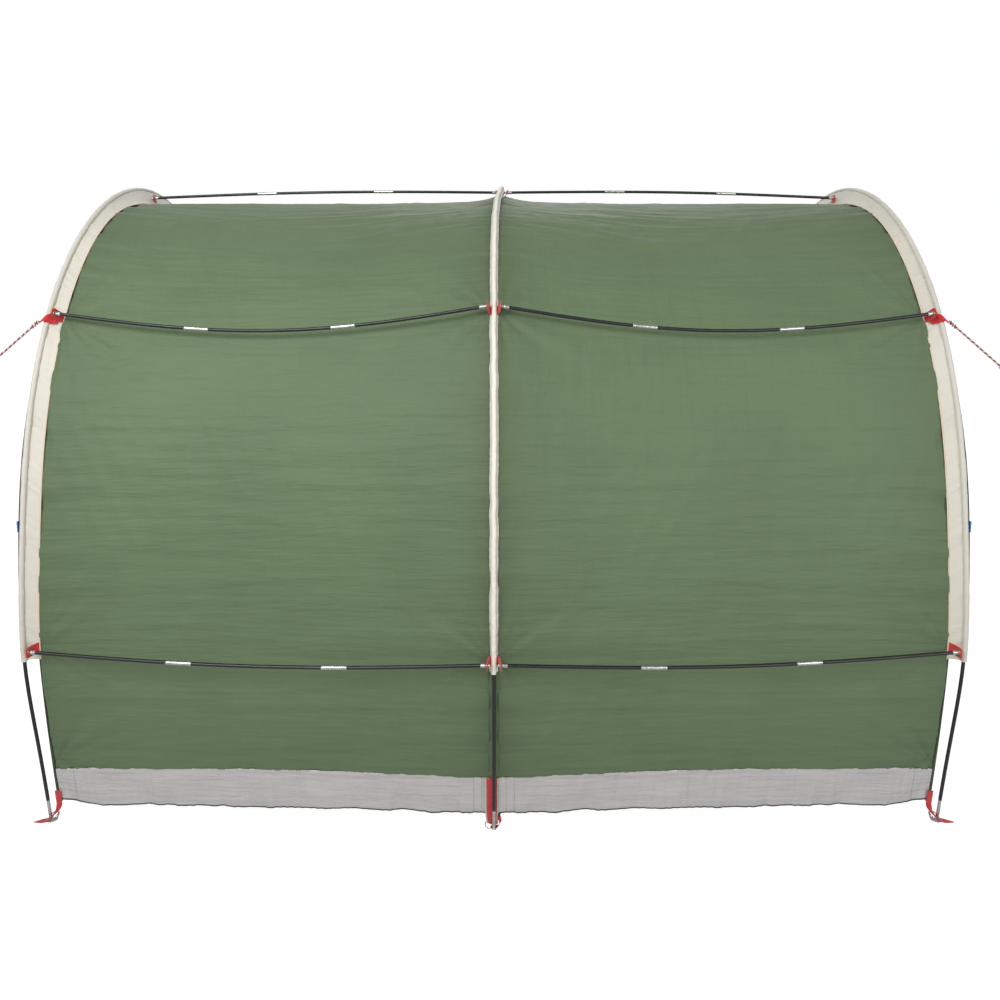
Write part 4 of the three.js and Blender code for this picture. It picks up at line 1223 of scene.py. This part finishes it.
def add_centre_gusset(end, front):
    """A dark tongue of floor cloth that narrows from the skirt's edge to the middle foot."""
    ground, _, _ = hoop_frame(CENTRE, 0.0, 0.0, front)
    inward = 1 if front else -1
    high, _, high_out = hoop_frame(CENTRE, 0.0, 0.064, front)
    line = smooth_line([high + high_out * -0.0165, ground + (0, inward * 0.020, 0.030),
                        ground + (0, inward * 0.016, 0.004)], 24)
    width = np.linspace(0.060, 0.020, 24)
    across = np.repeat(np.array((1.0, 0, 0))[None], 24, 0)
    dress(strap(f"foot_gusset_centre_{end}", line, across, width, 0.0010), dark_cloth_and_hem_shade, "tent")


for end, front in ENDS:
    add_centre_seam(f"centre_seam_{end}", FLY_LOW - 0.002, CENTRE.total / 2, front, wall_cloth)
    add_centre_seam(f"centre_skirt_seam_{end}", 0.047, FLY_LOW + 0.003, front, skirt_cloth)
    add_centre_gusset(end, front)


# ---------------------------------------------------------------- end walls and doors
GABLE_X = 1.3985
WALL_DROP = 0.046
DOOR_HALF_WIDTH, DOOR_LOW, DOOR_HIGH, DOOR_ROUND = 0.480, 0.060, 1.560, 0.300
WALL_MIDDLE = np.array((0.0, 0.82))


def wall_outline():
    s = np.linspace(SKIRT_LOW, END.total - SKIRT_LOW, 500)
    at, _, out = END.frame(s)
    edge = at + out * (-0.0145 - WALL_DROP * END.crownness(s))[:, None]
    floor_line = np.linspace(edge[-1], edge[0], 120)[1:-1]
    return np.vstack([edge, floor_line])


def door_outline(grow):
    w, low, high, r = DOOR_HALF_WIDTH - grow, DOOR_LOW + grow, DOOR_HIGH - grow, DOOR_ROUND - grow
    turn = np.linspace(0, math.pi / 2, 30)
    right = np.column_stack([w - r + r * np.cos(turn), high - r + r * np.sin(turn)])
    left = np.column_stack([r - w - r * np.sin(turn), high - r + r * np.cos(turn)])
    corners = np.vstack([[(-w, low), (w, low)], right, left, [(-w, low)]])
    run = np.concatenate([[0], np.cumsum(np.linalg.norm(np.diff(corners, axis=0), axis=1))])
    even = np.linspace(0, run[-1], 700)
    return np.column_stack([np.interp(even, run, corners[:, i]) for i in (0, 1)])


def by_angle(outline, angles):
    """The outline's points in the given directions from the wall's middle."""
    offset = outline - WALL_MIDDLE
    angle = np.arctan2(offset[:, 1], offset[:, 0])
    order = np.argsort(angle)
    reach = np.interp(angles, angle[order], np.linalg.norm(offset, axis=1)[order], period=2 * math.pi)
    return WALL_MIDDLE + reach[:, None] * np.column_stack([np.cos(angles), np.sin(angles)])


def wall_grid(name, sign, inner, outer, rows, lift, columns=480):
    angles = np.linspace(-math.pi, math.pi, columns + 1)
    a, b = by_angle(inner, angles), by_angle(outer, angles)
    t = np.linspace(0, 1, rows)[:, None, None]
    yz = a * (1 - t) + b * t
    x = GABLE_X + lift(yz[..., 0], yz[..., 1], t[..., 0])
    points = np.concatenate([(sign * x)[..., None], yz], -1)
    uv = yz + (1.2, 0)
    if sign > 0:
        points, uv = points[:, ::-1], uv[:, ::-1]
    obj = sheet_mesh(name, points, uv)
    activate(obj)
    bpy.ops.object.mode_set(mode="EDIT")
    bpy.ops.mesh.select_all(action="SELECT")
    bpy.ops.mesh.remove_doubles(threshold=1e-5)
    bpy.ops.object.mode_set(mode="OBJECT")
    return obj


def wall_folds(y, z, t):
    fade = np.sin(np.pi * np.clip(t, 0, 1)) ** 0.5
    lift = 0.0035 * fade * noise(y / 0.16, z / 0.22, 400) + 0.0016 * noise(y / 0.05, z / 0.30, 401) * fade
    return lift + 0.0010 * fade * folds((y + z) / 0.06, (y - z) / 0.4, 402)


def door_folds(y, z, t):
    inside = np.clip((1 - t) * 6, 0, 1)
    lift = 0.0040 * inside * noise(y / 0.14 + 3, z / 0.35, 410)
    lift += 0.0014 * inside * noise(y / 0.045, z / 0.25, 411)
    return lift + 0.0010 * inside * folds((y - z) / 0.07, (y + z) / 0.4, 412)


def zip_tape(name, sign, low_reach, high_reach, material, body, radius=None, lift=0.0022):
    """A tape, or its row of teeth, along the door's outline from hinge corner to hinge corner."""
    outline = door_outline(0.0)
    keep = outline[:, 0] < DOOR_HALF_WIDTH - 0.035
    start = int(np.argmax(~keep & np.roll(keep, -1)))
    outline = np.roll(outline[:-1], -start - 1, axis=0)
    outline = outline[outline[:, 0] < DOOR_HALF_WIDTH - 0.035]
    tangent = np.gradient(outline, axis=0)
    tangent /= np.linalg.norm(tangent, axis=1)[:, None]
    normal = np.column_stack([tangent[:, 1], -tangent[:, 0]])
    if np.mean(np.sum(normal * (outline - WALL_MIDDLE), axis=1)) < 0:
        normal = -normal
    run = np.concatenate([[0], np.cumsum(np.linalg.norm(np.diff(outline, axis=0), axis=1))])
    if radius:
        middle = outline + normal * low_reach
        line = np.column_stack([np.full(len(middle), sign * (GABLE_X + lift)), middle])
        piece = tube_mesh(name, line, radius, sides=8)
    else:
        reach = np.linspace(low_reach, high_reach, 6)
        yz = outline[:, None] + normal[:, None] * reach[None, :, None]
        ripple = 0.0004 * noise(run[:, None] / 0.03, reach[None] * 100, 430)
        x = np.full(yz.shape[:2], sign * (GABLE_X + lift)) + sign * ripple
        points = np.concatenate([x[..., None], yz], -1)
        uv = np.stack(np.broadcast_arrays(reach[None] - low_reach, run[:, None]), -1)
        piece = sheet_mesh(name, points, uv)
        apply_modifier(piece, "SOLIDIFY", thickness=0.0008, offset=0.0)
    dress(piece, material, body)


def add_gable(side, sign):
    outer, door = wall_outline(), door_outline(0.0)
    wall = wall_grid(f"end_wall_cloth_{side}", sign, door, outer, 60, wall_folds)
    dress(wall, wall_cloth, "tent", [f"end_wall_{side}"])

    leaf = door_outline(0.002)
    middle = WALL_MIDDLE + (leaf - WALL_MIDDLE) * 0.004
    cloth = wall_grid(f"door_cloth_{side}", sign, middle, leaf, 90, door_folds)
    cloth.data.materials.append(wall_cloth)
    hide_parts(f"door_{side}")
    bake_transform(cloth)

    sewn = door_outline(0.0)
    sewn = sewn[: int(np.argmax((sewn[:, 1] > 1.3) & (sewn[:, 0] < DOOR_HALF_WIDTH - 0.050)))]
    tangent = np.gradient(sewn, axis=0)
    tangent /= np.linalg.norm(tangent, axis=1)[:, None]
    across = np.column_stack([np.zeros(len(sewn)), tangent[:, 1], -tangent[:, 0]])
    line = np.column_stack([np.full(len(sewn), sign * (GABLE_X - 0.0030)), sewn])
    binding = strap(f"door_binding_{side}", line, across, 0.020, 0.0010, columns=3)
    dress(binding, wall_cloth, "tent")

    zip_tape(f"zip_tape_wall_{side}", sign, 0.0012, 0.0150, zip_tape_cloth, "tent")
    zip_tape(f"zip_tape_door_{side}", sign, -0.0150, -0.0028, zip_tape_cloth, f"door_{side}")
    zip_tape(f"zip_teeth_{side}", sign, 0.0002, 0.0002, zip_coil, "tent", radius=0.0016)


def add_edge_zip(side, sign):
    """The zip that joins an end wall to its sleeve shows as a dark edge outside the sleeve."""
    s = np.linspace(0.70, 1.46, 160)
    at, _, out = END.frame(s)
    t = (s - s[0]) / (s[-1] - s[0])
    reach = 0.0040 + 0.0085 * np.sin(np.pi * t) ** 0.7
    columns = np.linspace(0, 1, 7)
    points = np.zeros((len(s), 7, 3))
    for j, c in enumerate(columns):
        points[:, j, 0] = sign * (ARCH_X + END.bow_out(s) + 0.0050 + reach * c)
        level = -0.0040 - 0.0060 * c * c + 0.0005 * noise(s / 0.02, s * 0 + c, 440)
        points[:, j, 1:] = at + out * level[:, None]
    uv = np.stack(np.broadcast_arrays(columns[None] * 0.0125, s[:, None]), -1)
    tape = sheet_mesh(f"edge_zip_{side}", points, uv)
    apply_modifier(tape, "SOLIDIFY", thickness=0.0014, offset=0.0)
    dress(tape, zip_tape_cloth, "tent")

    place = END.place(0.985, sign * ARCH_X, -0.006)
    deselect()
    bpy.ops.mesh.primitive_cube_add(size=1, location=(place.x + sign * 0.0165, place.y, place.z))
    bpy.ops.transform.resize(value=(0.0040, 0.0085, 0.034))
    bpy.ops.object.transform_apply(location=True, rotation=True, scale=True)
    puller = bpy.context.object
    bpy.ops.object.mode_set(mode="EDIT")
    bpy.ops.mesh.select_all(action="SELECT")
    bpy.ops.mesh.subdivide(number_cuts=4)
    pick("VERT", lambda v: v.co.z < place.z - 0.009)
    bpy.ops.transform.resize(value=(1, 0.72, 1), center_override=place)
    pick("VERT", lambda v: abs(v.co.z - place.z) < 0.004)
    bpy.ops.transform.resize(value=(0.75, 1, 1), center_override=(place.x + sign * 0.0165, place.y, place.z))
    bpy.ops.object.mode_set(mode="OBJECT")
    apply_modifier(puller, "BEVEL", width=0.0008, segments=2, limit_method="ANGLE")
    dress(finish_piece(puller, f"edge_zip_puller_{side}"), puller_blue, "tent")


def zip_material(name, color, pitch):
    """A zip's tape or coil: fine ribs across it."""
    m = Shader(name, color, 0.6)
    _, y, _ = m.split(m.uv())
    ribs = m.math("SINE", m.math("MULTIPLY", y, 2 * math.pi / pitch))
    grain = m.noise(m.object_place(), 400.0, 3.0)
    m.paint(m.vary(grain, 0.3, 0.7, tint(color, 0.8), tint(color, 1.2)))
    m.bump(ribs, 0.8, pitch * 0.35)
    return m.material


zip_tape_cloth = zip_material("zip_tape", srgb(70, 74, 80), 0.0016)
zip_coil = zip_material("zip_coil", srgb(52, 56, 62), 0.0024)
for side, sign in SIDES:
    add_gable(side, sign)
    add_edge_zip(side, sign)


# ---------------------------------------------------------------- the CAD zip sliders and guy runners get their materials
LOOKS = {"zip_slider": (zip_plastic, "zip"), "guy_runner": (steel, "metal")}
for name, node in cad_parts.items():
    for start, (material, slot) in LOOKS.items():
        if name.startswith(start):
            node.data.materials.clear()
            node.data.materials.append(material)
